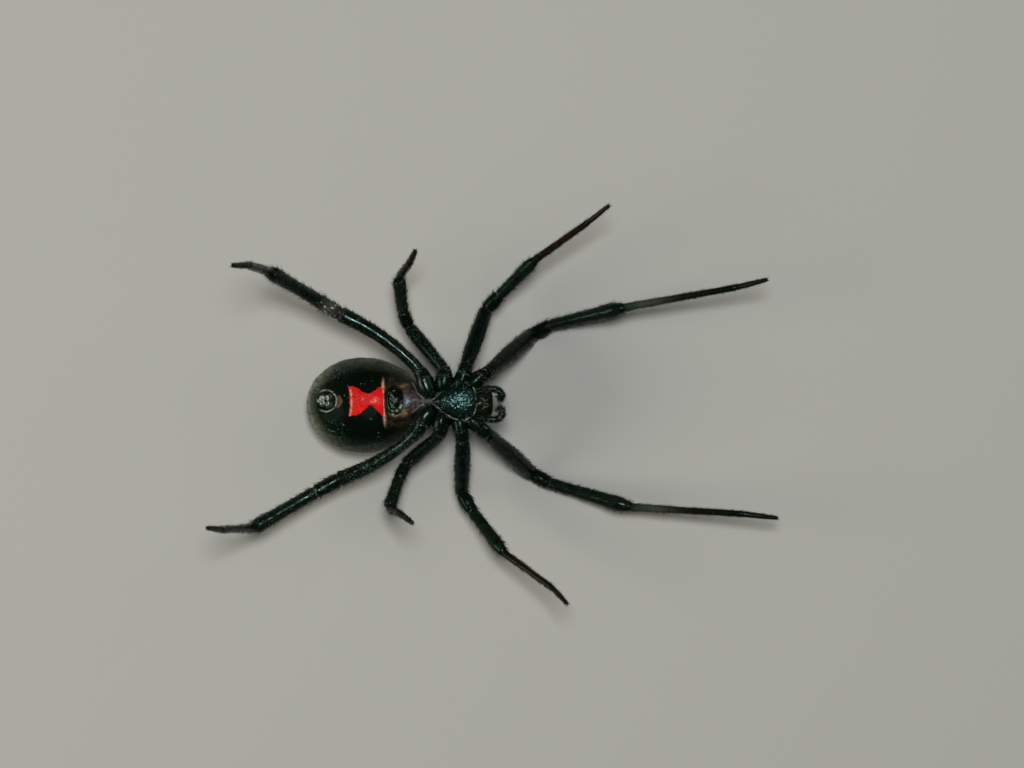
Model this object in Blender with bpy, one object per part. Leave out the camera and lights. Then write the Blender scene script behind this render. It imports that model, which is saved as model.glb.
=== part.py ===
"""A female black widow spider at life size, still, in the pose of one that hangs in her web.

She lies belly up, as she hangs: +X points to her head, +Z out of her belly, and her own right
legs are on the +Y side. Z = 0 is the floor, which her back and her two front knees touch.
The model is built about the pedicel, her waist, and the whole is then centred on its box.
"""
import math

import bmesh
import bpy
from mathutils import Vector

MM = 0.001
GAP = 0.3 * MM
FLOOR = 0.0

# The abdomen is an egg with its round end to the rear.
ABDOMEN_CENTRE = Vector((-3.91, -0.2, 2.57)) * MM
ABDOMEN_REAR = 3.42 * MM
ABDOMEN_FRONT = 3.7 * MM
ABDOMEN_HALF_WIDTH = 2.89 * MM
ABDOMEN_HALF_DEPTH = 2.63 * MM
ABDOMEN_FRONT_RISE = 0.7 * MM
ABDOMEN_SEGMENTS = 40

# The epigastric mound runs from the furrow to the waist. Each row is x, y, z, half width, half depth.
MOUND = (
    (-3.0, -0.1, 4.35, 1.0, 0.5),
    (-2.45, -0.08, 4.5, 1.3, 0.72),
    (-1.6, -0.05, 4.6, 1.15, 0.76),
    (-0.8, 0.0, 4.78, 0.68, 0.56),
    (-0.15, 0.0, 4.9, 0.32, 0.3),
)
MOUND_SIDES = 20

# The spinnerets stand in a ring in a shallow seat near the rear of the belly.
SPINNERETS_CENTRE = Vector((-6.06, 0.06, 4.6)) * MM
SPINNERETS_TILT = -30.0
SPINNERET_RING = 0.36 * MM
SPINNERET_RADIUS = 0.3 * MM
SPINNERET_HEIGHT = 0.62 * MM
SPINNERET_SINK = 0.09 * MM
SPINNERET_LEAN = 14.0
SPINNERET_SIDES = 14
SPINNERET_BASE_RADIUS = 0.56 * MM
SPINNERET_BASE_HEIGHT = 0.3 * MM
SPINNERET_ANGLES = (45.0, 135.0, 225.0, 315.0)
# Part of the height and share of the radius there.
SPINNERET_PROFILE = ((0.0, 0.86), (0.55, 1.0), (0.85, 0.8), (1.0, 0.53))
SEAT_RADIUS = 0.86 * MM
SEAT_DEPTH = 0.26 * MM

# Cephalothorax. Each ellipsoid is its centre and its half sizes along X, Y and Z.
THORAX = ((1.55, 0.0, 4.62), (1.38, 1.42, 0.76))
HEAD = ((2.85, 0.0, 4.18), (0.86, 0.8, 0.55))
CORE = ((1.65, 0.0, 5.1), (1.42, 1.05, 0.55))
LABIUM = ((2.93, -0.06, 5.55), (0.27, 0.3, 0.27))
ENDITES = (
    ((2.92, 0.46, 5.5), (0.32, 0.3, 0.32)),
    ((2.92, -0.6, 5.5), (0.32, 0.3, 0.32)),
)
THORAX_SEGMENTS = 28
HEAD_SEGMENTS = 24
CORE_SEGMENTS = 20
MOUTHPART_SEGMENTS = 14

# The sternum is a shield with its tip to the rear. Each row is x, half width, crown height.
STERNUM = (
    (0.42, 0.08, 5.55),
    (0.75, 0.48, 5.74),
    (1.25, 0.78, 5.86),
    (1.85, 0.95, 5.9),
    (2.4, 0.97, 5.88),
    (2.7, 0.84, 5.82),
    (2.84, 0.62, 5.74),
)
STERNUM_LEVEL = 5.4
STERNUM_SIDES = 16

PEDICEL_RADIUS = 0.28 * MM
PEDICEL_START = Vector((0.15, 0.0, 4.9)) * MM
PEDICEL_END = Vector((0.75, 0.0, 4.95)) * MM

# Eight eyes in two rows of four on the head: angle to the side and angle down the face.
EYE_RADIUS = 0.09 * MM
EYE_ROWS = ((20.0, (13.0, 36.0)), (44.0, (15.0, 46.0)))
EYE_SEGMENTS = 10

# Each jaw is a short cone with a fang folded across its end. The mouth is turned a little to her left.
MOUTH_TURN = Vector((0.0, -0.08, 0.0)) * MM
CHELICERA_BASE = Vector((3.68, 0.4, 4.8)) * MM
CHELICERA_END = Vector((3.73, 0.37, 5.6)) * MM
CHELICERA_RADIUS = 0.26 * MM
CHELICERA_PROFILE = ((0.0, 0.85), (0.12, 1.0), (0.5, 0.98), (0.85, 0.92), (1.0, 0.68))
CHELICERA_SIDES = 14
FANG_DIRECTION = Vector((-0.25, -0.3, 0.9))
FANG_LENGTH = 0.3 * MM
FANG_RADIUS = 0.12 * MM
FANG_SINK = 0.08 * MM
FANG_PROFILE = ((0.0, 1.0), (0.6, 0.8), (1.0, 0.4))
FANG_SIDES = 8

# Each feeler curls round the front of the mouth. Its joints, from the root to the tip.
PALP_JOINTS = {
    "r": ((3.52, 0.95, 5.62), (4.2, 0.96, 5.6), (4.56, 0.74, 5.55), (4.62, 0.42, 5.5), (4.44, 0.18, 5.5)),
    "l": ((3.52, -1.09, 5.62), (4.2, -1.12, 5.6), (4.58, -0.9, 5.55), (4.62, -0.6, 5.5), (4.4, -0.36, 5.5)),
}
PALP_RADIUS = 0.26 * MM
PALP_TIP_RADIUS = 0.17 * MM
PALP_TAPER = 4.0
PALP_RING_STEP = 0.22 * MM
PALP_SIDES = 10

# Legs, in pairs from the front. A leg's links run outwards from the body.
LINKS = ("coxa", "trochanter", "femur", "patella", "tibia", "metatarsus", "tarsus")
LENGTHS = {
    1: (1.0, 0.6, 6.05, 1.35, 5.35, 6.95, 2.15),
    2: (0.9, 0.6, 4.25, 1.3, 3.6, 4.05, 1.75),
    3: (0.88, 0.5, 3.5, 1.1, 2.15, 2.7, 1.3),
    4: (1.12, 0.65, 5.85, 1.6, 4.35, 4.7, 1.65),
}
FEMUR_RADIUS = {1: 0.56, 2: 0.48, 3: 0.42, 4: 0.41}
TIBIA_RADIUS = {1: 0.46, 2: 0.42, 3: 0.39, 4: 0.46}
LEG_ROOTS = {1: (2.45, 0.9), 2: (1.9, 0.87), 3: (1.18, 0.69), 4: (0.34, 0.4)}
LEG_ROOT_LEVEL = 5.36

# Radii at the start, middle and end of the links that are alike in all legs, in millimetres.
COXA_RADII = (0.4, 0.47, 0.43)
TROCHANTER_RADII = (0.39, 0.4, 0.38)
METATARSUS_RADII = (0.26, 0.25, 0.25)
TARSUS_RADII = (0.25, 0.25, 0.12)
# The same as shares of the tibia's largest radius, which is at its end.
PATELLA_SHARES = (0.82, 0.97, 0.78)
TIBIA_SHARES = (0.74, 0.84, 1.0)
FEMUR_END_SHARES = {1: 0.86, 2: 0.94, 3: 0.94, 4: 0.94}

# Pose: the heading and the pitch of each link. Heading 0 is +X, 90 is +Y, and pitch is up to +Z.
POSE = {
    "r1": ((40, -3), (29, -12), (41, -55), (27, 20), (13, 33), (10, 12), (14, 29)),
    "l1": ((-41, -3), (-41, -12), (-43, -54), (-28, 12), (-16, 18), (-3, 16), (-7, 0)),
    "r2": ((69, -3), (74, -12), (71, -35), (47, 18), (44, 35), (35, 16), (38, 27)),
    "l2": ((-80, -3), (-80, -12), (-92, -41), (-59, 14), (-52, 30), (-35, 27), (-46, 47)),
    "r3": ((92, -3), (111, -12), (130, -23), (112, 24), (96, 15), (49, 65), (63, 56)),
    "l3": ((-111, -3), (-99, -22), (-139.5, -37), (-114, 28), (-108, 33), (-21, 71), (-35, 50)),
    "r4": ((115, -3), (123, -12), (145, 0), (148, 20), (149, 44), (164, 77), (-175, 59)),
    "l4": ((-124, -3), (-125, -4), (-149, -20), (-151, 2), (-150, 10), (178, 69), (168, 64)),
}
# How far the middle of a femur bows, towards the head and away from the body, in millimetres.
FEMUR_BOW = {1: (0.0, 0.0), 2: (0.0, 0.0), 3: (0.0, 0.0), 4: (0.25, 0.2)}
FEMUR = LINKS.index("femur")
# Corners are rounded over this length to each side, which is never more than this share of a link.
BEND = 0.45 * MM
BEND_SHARE = 0.3
BEND_SAMPLES = 8
PROBE = 0.05 * MM
RING_STEP = 1.5 * MM
# A tube's rim is rounded over this length, down to this share of its radius.
END_ROUND = 0.14 * MM
END_SHARE = 0.8
FEMUR_SIDES = 12
TIBIA_SIDES = 12
FOOT_SIDES = 8
SMOOTH_ANGLE = math.radians(50.0)

BLACK = (0.012, 0.013, 0.014, 1.0)
DARK_BROWN = (0.03, 0.016, 0.01, 1.0)
BROWN = (0.055, 0.025, 0.014, 1.0)


def clear_scene():
    for thing in list(bpy.data.objects):
        bpy.data.objects.remove(thing, do_unlink=True)


def material(name, colour, roughness):
    made = bpy.data.materials.new(name)
    made.use_nodes = True
    shader = made.node_tree.nodes["Principled BSDF"]
    shader.inputs["Base Color"].default_value = colour
    shader.inputs["Roughness"].default_value = roughness
    shader.inputs["Metallic"].default_value = 0.0
    made.diffuse_color = colour
    return made


def mm(values):
    return Vector(values) * MM


def mirrored(point):
    return Vector((point.x, -point.y, point.z))


def loft(bm, rings):
    """Join rings of points, all of one count, into a closed body with flat ends."""
    loops = [[bm.verts.new(point) for point in ring] for ring in rings]
    count = len(loops[0])
    for lower, upper in zip(loops, loops[1:]):
        for i in range(count):
            j = (i + 1) % count
            bm.faces.new((lower[i], lower[j], upper[j], upper[i]))
    bm.faces.new(list(reversed(loops[0])))
    bm.faces.new(loops[-1])
    bmesh.ops.recalc_face_normals(bm, faces=bm.faces)


def oval(centre, side, up, half_side, half_up, count):
    """Points of an ellipse about a centre, in the plane of two unit vectors."""
    points = []
    for i in range(count):
        angle = 2.0 * math.pi * (i + 0.5) / count
        points.append(centre + side * (half_side * math.cos(angle)) + up * (half_up * math.sin(angle)))
    return points


def unit_sphere(bm, segments):
    return bmesh.ops.create_uvsphere(bm, u_segments=segments, v_segments=segments // 2, radius=1.0)


def ellipsoid(bm, centre, halves, segments):
    """An ellipsoid with its poles on the Z axis."""
    made = unit_sphere(bm, segments)
    for vertex in made["verts"]:
        local = Vector((vertex.co.x * halves.x, vertex.co.y * halves.y, vertex.co.z * halves.z))
        vertex.co = centre + local


def mesh_object(name, bm, finish=None):
    """Turn a bmesh into an object in the scene."""
    mesh = bpy.data.meshes.new(name)
    bm.to_mesh(mesh)
    bm.free()
    made = bpy.data.objects.new(name, mesh)
    bpy.context.scene.collection.objects.link(made)
    if finish:
        mesh.materials.append(finish)
    return made


def solid(name, finish, build):
    """An object whose mesh the function build adds to an empty bmesh."""
    bm = bmesh.new()
    build(bm)
    return mesh_object(name, bm, finish)


def apply_boolean(target, operation, operand=None, collection=None):
    modifier = target.modifiers.new("join", "BOOLEAN")
    modifier.operation = operation
    modifier.solver = "EXACT"
    if collection:
        modifier.operand_type = "COLLECTION"
        modifier.collection = collection
    else:
        modifier.object = operand
    graph = bpy.context.evaluated_depsgraph_get()
    joined = bpy.data.meshes.new_from_object(target.evaluated_get(graph))
    target.modifiers.clear()
    target.data = joined


def union(target, pieces):
    """Fuse closed pieces into the target and remove them."""
    group = bpy.data.collections.new("pieces")
    bpy.context.scene.collection.children.link(group)
    for piece in pieces:
        group.objects.link(piece)
    apply_boolean(target, "UNION", collection=group)
    for piece in pieces:
        bpy.data.objects.remove(piece, do_unlink=True)
    bpy.data.collections.remove(group)
    keep_largest_body(target)


def shell_of(start):
    """All faces that can be reached from one face over shared edges."""
    found = {start}
    queue = [start]
    while queue:
        face = queue.pop()
        for edge in face.edges:
            for other in edge.link_faces:
                if other not in found:
                    found.add(other)
                    queue.append(other)
    return found


def keep_largest_body(target):
    """Drop sealed hollows and loose scraps that a union leaves."""
    bm = bmesh.new()
    bm.from_mesh(target.data)
    waiting = set(bm.faces)
    shells = []
    while waiting:
        shell = shell_of(next(iter(waiting)))
        waiting -= shell
        shells.append(shell)
    shells.sort(key=lambda shell: sum(face.calc_area() for face in shell))
    scraps = [face for shell in shells[:-1] for face in shell]
    if scraps:
        bmesh.ops.delete(bm, geom=scraps, context="FACES")
    bm.to_mesh(target.data)
    bm.free()


def cut_at_floor(bm):
    """Cut off what reaches below the floor and close the cut with a flat."""
    geometry = list(bm.verts) + list(bm.edges) + list(bm.faces)
    cut = bmesh.ops.bisect_plane(
        bm,
        geom=geometry,
        plane_co=(0.0, 0.0, FLOOR),
        plane_no=(0.0, 0.0, 1.0),
        clear_inner=True,
    )
    edges = [item for item in cut["geom_cut"] if isinstance(item, bmesh.types.BMEdge)]
    if edges:
        bmesh.ops.contextual_create(bm, geom=edges)


def finish_solid(target):
    """Shade the round faces smooth and keep the hard rims sharp."""
    target.data.shade_smooth()
    target.data.set_sharp_from_angle(angle=SMOOTH_ANGLE)


def add_abdomen_egg(bm):
    """The egg's long axis is the sphere's Z axis, laid along X."""
    made = unit_sphere(bm, ABDOMEN_SEGMENTS)
    for vertex in made["verts"]:
        along = vertex.co.z
        reach = ABDOMEN_FRONT if along > 0.0 else ABDOMEN_REAR
        rise = ABDOMEN_FRONT_RISE * max(along, 0.0) ** 2.0
        local = Vector((
            reach * along,
            ABDOMEN_HALF_WIDTH * vertex.co.x,
            ABDOMEN_HALF_DEPTH * vertex.co.y + rise,
        ))
        vertex.co = ABDOMEN_CENTRE + local
    bmesh.ops.recalc_face_normals(bm, faces=bm.faces)
    cut_at_floor(bm)


def add_mound(bm):
    side = Vector((0.0, 1.0, 0.0))
    up = Vector((0.0, 0.0, 1.0))
    rings = []
    for x, y, z, half_width, half_depth in MOUND:
        centre = mm((x, y, z))
        rings.append(oval(centre, side, up, half_width * MM, half_depth * MM, MOUND_SIDES))
    loft(bm, rings)


def spinneret_axes():
    """The direction out of the belly at the spinnerets, and two directions across it."""
    tilt = math.radians(SPINNERETS_TILT)
    outward = Vector((math.sin(tilt), 0.0, math.cos(tilt)))
    along = Vector((math.cos(tilt), 0.0, -math.sin(tilt)))
    across = Vector((0.0, 1.0, 0.0))
    return outward, along, across


def add_seat_cutter(bm):
    outward, along, across = spinneret_axes()
    floor_point = SPINNERETS_CENTRE - outward * SEAT_DEPTH
    rings = []
    for distance in (0.0, SPINNERET_HEIGHT * 2.0):
        centre = floor_point + outward * distance
        rings.append(oval(centre, along, across, SEAT_RADIUS, SEAT_RADIUS, MOUND_SIDES))
    loft(bm, rings)


def make_abdomen(finish):
    body = solid("abdomen", finish, add_abdomen_egg)
    union(body, [solid("mound", None, add_mound)])
    cutter = solid("seat", None, add_seat_cutter)
    cutter.hide_render = True
    cutter.display_type = "WIRE"
    apply_boolean(body, "DIFFERENCE", operand=cutter)
    bpy.data.objects.remove(cutter, do_unlink=True)
    finish_solid(body)
    return body


def make_spinnerets(finish):
    outward, along, across = spinneret_axes()
    foot = SPINNERETS_CENTRE - outward * (SEAT_DEPTH - GAP)
    base_radius = SPINNERET_BASE_RADIUS

    def add_base(bm):
        top = foot + outward * SPINNERET_BASE_HEIGHT
        rings = []
        for centre in (foot, top):
            rings.append(oval(centre, along, across, base_radius, base_radius, SPINNERET_SIDES))
        loft(bm, rings)

    def add_lobe(bm, angle):
        direction = along * math.cos(angle) + across * math.sin(angle)
        lean = math.radians(SPINNERET_LEAN)
        axis = outward * math.cos(lean) - direction * math.sin(lean)
        side = across * math.cos(angle) - along * math.sin(angle)
        start = foot + direction * SPINNERET_RING + outward * SPINNERET_SINK
        rings = []
        for part, scale in SPINNERET_PROFILE:
            centre = start + axis * (part * SPINNERET_HEIGHT)
            radius = SPINNERET_RADIUS * scale
            rings.append(oval(centre, side, axis.cross(side), radius, radius, SPINNERET_SIDES))
        loft(bm, rings)

    body = solid("spinnerets", finish, add_base)
    lobes = []
    for angle in SPINNERET_ANGLES:
        lobes.append(solid("lobe", None, lambda bm, turn=math.radians(angle): add_lobe(bm, turn)))
    union(body, lobes)
    finish_solid(body)
    return body


def joint_points(root, steps, lengths):
    """Places of a leg's joints, from its root outwards."""
    points = [root]
    for (heading, pitch), length in zip(steps, lengths):
        h = math.radians(heading)
        p = math.radians(pitch)
        step = Vector((math.cos(p) * math.cos(h), math.cos(p) * math.sin(h), math.sin(p)))
        points.append(points[-1] + step * length * MM)
    return points


def distances(points):
    """Distance of each joint from the first, along the straight links."""
    found = [0.0]
    for first, second in zip(points, points[1:]):
        found.append(found[-1] + (second - first).length)
    return found


def plain_line(points):
    """A line through points: the points, their distances from the first, and no bow."""
    return points, distances(points), Vector((0.0, 0.0, 0.0))


def straight_point(line, distance):
    """Point at a distance along a line's straight links, with the femur bowed, carried on past both ends."""
    points, marks, bow = line
    index = 0
    while index < len(marks) - 2 and distance > marks[index + 1]:
        index += 1
    part = (distance - marks[index]) / (marks[index + 1] - marks[index])
    point = points[index].lerp(points[index + 1], part)
    if index == FEMUR:
        point += bow * (4.0 * part * (1.0 - part))
    return point


def bent_point(line, distance):
    """The same line with its corners rounded, by averaging it over a short stretch."""
    total = Vector((0.0, 0.0, 0.0))
    for i in range(BEND_SAMPLES + 1):
        total += straight_point(line, distance + BEND * (2.0 * i / BEND_SAMPLES - 1.0))
    return total / (BEND_SAMPLES + 1)


def ring_places(start, end):
    """Distances of the rings between two joints, closer together near the bends."""
    near = min(BEND, BEND_SHARE * (end - start))
    inner = max(1, round((end - start - 2.0 * near) / RING_STEP))
    places = [start, start + near]
    for i in range(1, inner):
        places.append(start + near + (end - start - 2.0 * near) * i / inner)
    places.append(end - near)
    return places


def link_radius(radii, part):
    """Radius at a part of a link's length, through its radii at the start, middle and end."""
    start, middle, end = radii
    return (
        start * (2.0 * part - 1.0) * (part - 1.0)
        + middle * 4.0 * part * (1.0 - part)
        + end * part * (2.0 * part - 1.0)
    )


def leg_radii(pair):
    """Radii of a leg's links at the start, middle and end of each, in millimetres."""
    tibia = TIBIA_RADIUS[pair]
    return {
        "coxa": COXA_RADII,
        "trochanter": TROCHANTER_RADII,
        "femur": (TROCHANTER_RADII[2], FEMUR_RADIUS[pair], FEMUR_END_SHARES[pair] * tibia),
        "patella": [share * tibia for share in PATELLA_SHARES],
        "tibia": [share * tibia for share in TIBIA_SHARES],
        "metatarsus": METATARSUS_RADII,
        "tarsus": TARSUS_RADII,
    }


def add_tube(bm, line, radius_at, places, sides):
    """Sweep round rings along the bent line, with both ends slightly rounded."""
    tangent = None
    side = None
    rings = []
    first = places[0]
    last = places[-1]
    stops = [(first, END_SHARE), (first + END_ROUND, 1.0)]
    stops += [(place, 1.0) for place in places[1:-1]]
    stops += [(last - END_ROUND, 1.0), (last, END_SHARE)]
    for place, scale in stops:
        centre = bent_point(line, place)
        ahead = direction_at(line, place)
        if side is None:
            side = Vector((0.0, 0.0, 1.0)).cross(ahead).normalized()
        else:
            side = tangent.rotation_difference(ahead) @ side
        tangent = ahead
        radius = radius_at(place) * scale
        rings.append(oval(centre, side, tangent.cross(side), radius, radius, sides))
    loft(bm, rings)


def direction_at(line, distance):
    """Unit direction of the bent line at a distance along it."""
    ahead = bent_point(line, distance + PROBE)
    behind = bent_point(line, distance - PROBE)
    return (ahead - behind).normalized()


def half_gap(line, radius_at, distance):
    """Half of the gap at a joint, wide enough for the inner side of its bend."""
    before = direction_at(line, distance - GAP / 2.0)
    after = direction_at(line, distance + GAP / 2.0)
    turn = before.angle(after)
    return GAP / 2.0 + radius_at(distance) * math.tan(turn / 2.0)


def leg_line(side, pair):
    """Joints of one leg, their distances from its root, and the bow of its femur."""
    x, y = LEG_ROOTS[pair]
    root = mm((x, y if side == "r" else -y, LEG_ROOT_LEVEL))
    points = joint_points(root, POSE[side + str(pair)], LENGTHS[pair])
    ahead, outwards = FEMUR_BOW[pair]
    bow = mm((ahead, outwards if side == "r" else -outwards, 0.0))
    return points, distances(points), bow


def radius_along(pair, marks):
    """A function that gives the leg's radius at a distance from its root."""
    radii = leg_radii(pair)

    def radius_at(distance):
        index = 0
        while index < len(LINKS) - 1 and distance > marks[index + 1]:
            index += 1
        part = (distance - marks[index]) / (marks[index + 1] - marks[index])
        return link_radius(radii[LINKS[index]], min(max(part, 0.0), 1.0)) * MM

    return radius_at


def places_between(marks, first, last, start, end):
    """Ring places from joint first to joint last, trimmed to start and end."""
    places = [start]
    for index in range(first, last):
        places += ring_places(marks[index], marks[index + 1])
    clear = 1.5 * END_ROUND
    places = [place for place in places if start + clear < place < end - clear]
    return [start] + places + [end]


def make_leg(side, pair, leg_finish, foot_finish):
    """Three nodes: trochanter with femur, patella with tibia, and metatarsus with tarsus."""
    line = leg_line(side, pair)
    marks = line[1]
    radius_at = radius_along(pair, marks)
    root, knee, ankle = [half_gap(line, radius_at, marks[index]) for index in (1, 3, 5)]
    stretches = (
        ("femur", 1, 3, marks[1] + root, marks[3] - knee, FEMUR_SIDES, leg_finish),
        ("tibia", 3, 5, marks[3] + knee, marks[5] - ankle, TIBIA_SIDES, leg_finish),
        ("foot", 5, 7, marks[5] + ankle, marks[7], FOOT_SIDES, foot_finish),
    )
    made = []
    for label, first, last, start, end, sides, finish in stretches:
        places = places_between(marks, first, last, start, end)
        bm = bmesh.new()
        add_tube(bm, line, radius_at, places, sides)
        cut_at_floor(bm)
        piece = mesh_object("leg_" + side + str(pair) + "_" + label, bm, finish)
        finish_solid(piece)
        made.append(piece)
    return made


def make_coxa(side, pair):
    line = leg_line(side, pair)
    marks = line[1]
    radius_at = radius_along(pair, marks)
    end = marks[1] - half_gap(line, radius_at, marks[1])
    bm = bmesh.new()
    add_tube(bm, line, radius_at, [0.0, marks[1] * 0.5, end], FEMUR_SIDES)
    return mesh_object("coxa", bm)


def make_sternum():
    """The shield, with its underside sunk in the body."""
    side = Vector((0.0, 1.0, 0.0))
    up = Vector((0.0, 0.0, 1.0))
    rings = []
    for x, half_width, crown in STERNUM:
        centre = mm((x, 0.0, STERNUM_LEVEL))
        half_height = (crown - STERNUM_LEVEL) * MM
        rings.append(oval(centre, side, up, half_width * MM, half_height, STERNUM_SIDES))
    bm = bmesh.new()
    loft(bm, rings)
    return mesh_object("sternum", bm)


def make_ellipsoid(shape, segments, finish=None, name="ellipsoid"):
    centre, halves = shape
    bm = bmesh.new()
    ellipsoid(bm, mm(centre), mm(halves), segments)
    return mesh_object(name, bm, finish)


def make_pedicel():
    bm = bmesh.new()
    line = plain_line([PEDICEL_START, PEDICEL_END])
    add_tube(bm, line, lambda distance: PEDICEL_RADIUS, line[1], FEMUR_SIDES)
    return mesh_object("pedicel", bm)


def eye_centres():
    """Eye places on the front of the head, whose back faces the floor."""
    centre, halves = HEAD
    found = []
    for down, turns in EYE_ROWS:
        for turn in turns:
            for sign in (1.0, -1.0):
                a = math.radians(down)
                b = math.radians(turn) * sign
                direction = Vector((math.cos(a) * math.cos(b), math.cos(a) * math.sin(b), -math.sin(a)))
                on_head = Vector([h * d for h, d in zip(halves, direction)])
                found.append(mm(Vector(centre) + on_head))
    return found


def make_eye(place):
    bm = bmesh.new()
    ellipsoid(bm, place, Vector((EYE_RADIUS, EYE_RADIUS, EYE_RADIUS)), EYE_SEGMENTS)
    return mesh_object("eye", bm)


def make_cephalothorax(finish):
    """Carapace, sternum, leg bases, lip, palp bases, eyes and waist in one body."""
    body = make_ellipsoid(THORAX, THORAX_SEGMENTS, finish, "cephalothorax")
    pieces = [
        make_ellipsoid(HEAD, HEAD_SEGMENTS),
        make_ellipsoid(CORE, CORE_SEGMENTS),
        make_ellipsoid(LABIUM, MOUTHPART_SEGMENTS),
        make_sternum(),
        make_pedicel(),
    ]
    pieces += [make_ellipsoid(endite, MOUTHPART_SEGMENTS) for endite in ENDITES]
    pieces += [make_coxa(side, pair) for side in "rl" for pair in LENGTHS]
    pieces += [make_eye(place) for place in eye_centres()]
    union(body, pieces)
    finish_solid(body)
    return body


def make_chelicera(side, finish):
    """One jaw with its fang folded inwards across the end."""
    flip = (lambda point: point) if side == "r" else mirrored
    base = flip(CHELICERA_BASE) + MOUTH_TURN
    end = flip(CHELICERA_END) + MOUTH_TURN
    across = Vector((0.0, 1.0, 0.0))
    forward = Vector((1.0, 0.0, 0.0))
    rings = []
    for part, scale in CHELICERA_PROFILE:
        radius = CHELICERA_RADIUS * scale
        rings.append(oval(base.lerp(end, part), forward, across, radius, radius, CHELICERA_SIDES))
    bm = bmesh.new()
    loft(bm, rings)
    body = mesh_object("chelicera_" + side, bm, finish)
    inwards = flip(FANG_DIRECTION).normalized()
    level = across.cross(inwards).normalized()
    start = end - inwards * FANG_SINK
    fang_rings = []
    for part, scale in FANG_PROFILE:
        centre = start + inwards * ((FANG_LENGTH + FANG_SINK) * part)
        radius = FANG_RADIUS * scale
        fang_rings.append(oval(centre, level, inwards.cross(level), radius, radius, FANG_SIDES))
    fang = bmesh.new()
    loft(fang, fang_rings)
    union(body, [mesh_object("fang", fang)])
    finish_solid(body)
    return body


def make_palp(side, finish):
    line = plain_line([mm(point) for point in PALP_JOINTS[side]])
    total = line[1][-1]

    def radius_at(distance):
        part = min(max(distance / total, 0.0), 1.0)
        return PALP_RADIUS + (PALP_TIP_RADIUS - PALP_RADIUS) * part ** PALP_TAPER

    rings = max(2, round(total / PALP_RING_STEP))
    places = [total * i / rings for i in range(rings + 1)]
    bm = bmesh.new()
    add_tube(bm, line, radius_at, places, PALP_SIDES)
    piece = mesh_object("palp_" + side, bm, finish)
    finish_solid(piece)
    return piece


def centre_on_box(made):
    """Hang every piece on one empty, which puts the middle of the box's base at the origin."""
    corners = [vertex.co for piece in made for vertex in piece.data.vertices]
    low = [min(corner[axis] for corner in corners) for axis in range(3)]
    high = [max(corner[axis] for corner in corners) for axis in range(3)]
    holder = bpy.data.objects.new("spider", None)
    bpy.context.scene.collection.objects.link(holder)
    holder.location = (-(low[0] + high[0]) / 2.0, -(low[1] + high[1]) / 2.0, -low[2])
    for piece in made:
        piece.parent = holder


def build():
    clear_scene()
    shell = material("black_shell", BLACK, 0.2)
    leg_shell = material("black_leg", BLACK, 0.28)
    foot_shell = material("brown_foot", DARK_BROWN, 0.4)
    mouth = material("brown_mouthparts", DARK_BROWN, 0.3)
    silk = material("brown_spinnerets", BROWN, 0.35)
    made = [make_cephalothorax(shell), make_abdomen(shell), make_spinnerets(silk)]
    for side in "rl":
        made.append(make_chelicera(side, mouth))
        made.append(make_palp(side, mouth))
        for pair in LENGTHS:
            made += make_leg(side, pair, leg_shell, foot_shell)
    centre_on_box(made)


build()
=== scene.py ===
"""The looks of a female black widow spider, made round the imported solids.

She lies belly up, with her head to +X and her own right legs on the +Y side. Shapes are worked out
in millimetres about the pedicel, her waist, and ORIGIN puts that point in the row frame.
"""
import math

import bmesh
import bpy
import numpy as np
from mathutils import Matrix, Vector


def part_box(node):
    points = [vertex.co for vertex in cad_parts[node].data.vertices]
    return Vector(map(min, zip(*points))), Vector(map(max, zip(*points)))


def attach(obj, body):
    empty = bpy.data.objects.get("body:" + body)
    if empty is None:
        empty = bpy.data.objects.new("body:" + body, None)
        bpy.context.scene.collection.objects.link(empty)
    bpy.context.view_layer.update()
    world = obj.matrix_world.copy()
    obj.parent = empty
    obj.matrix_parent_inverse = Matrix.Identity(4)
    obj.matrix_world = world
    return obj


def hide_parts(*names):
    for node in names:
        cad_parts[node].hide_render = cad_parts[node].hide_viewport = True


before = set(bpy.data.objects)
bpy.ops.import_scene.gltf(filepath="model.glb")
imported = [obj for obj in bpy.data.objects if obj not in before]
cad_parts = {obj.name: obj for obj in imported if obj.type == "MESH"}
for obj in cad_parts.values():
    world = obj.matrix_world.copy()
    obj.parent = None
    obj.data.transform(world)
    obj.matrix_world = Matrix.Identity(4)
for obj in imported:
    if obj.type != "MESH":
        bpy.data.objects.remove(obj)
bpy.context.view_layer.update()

MM = 0.001
TURN = 2.0 * math.pi
BODY = "root"
UV_NAME = "OFBake"
PATCH = 0.003

# The abdomen is an egg with its round end to the rear.
ABDOMEN_CENTRE = np.array((-3.91, -0.2, 2.57))
ABDOMEN_REAR = 3.42
ABDOMEN_FRONT = 3.7
ABDOMEN_HALF_WIDTH = 2.89
ABDOMEN_HALF_DEPTH = 2.63
ABDOMEN_FRONT_RISE = 0.7
ABDOMEN_RINGS = 90
ABDOMEN_SIDES = 120
# Lowest level of anything over the floor.
FLOOR_GAP = 0.004
SKIN_VOXEL = 0.045
SKIN_SMOOTHING = 14

# The epigastric mound, from the furrow to the waist: x, y, z, half width, half depth.
MOUND = (
    (-3.3, -0.12, 4.2, 0.7, 0.4), (-3.0, -0.1, 4.35, 1.0, 0.5), (-2.45, -0.08, 4.5, 1.3, 0.72),
    (-1.6, -0.05, 4.6, 1.15, 0.76), (-0.8, 0.0, 4.78, 0.68, 0.56), (-0.15, 0.0, 4.9, 0.3, 0.28),
)

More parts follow.
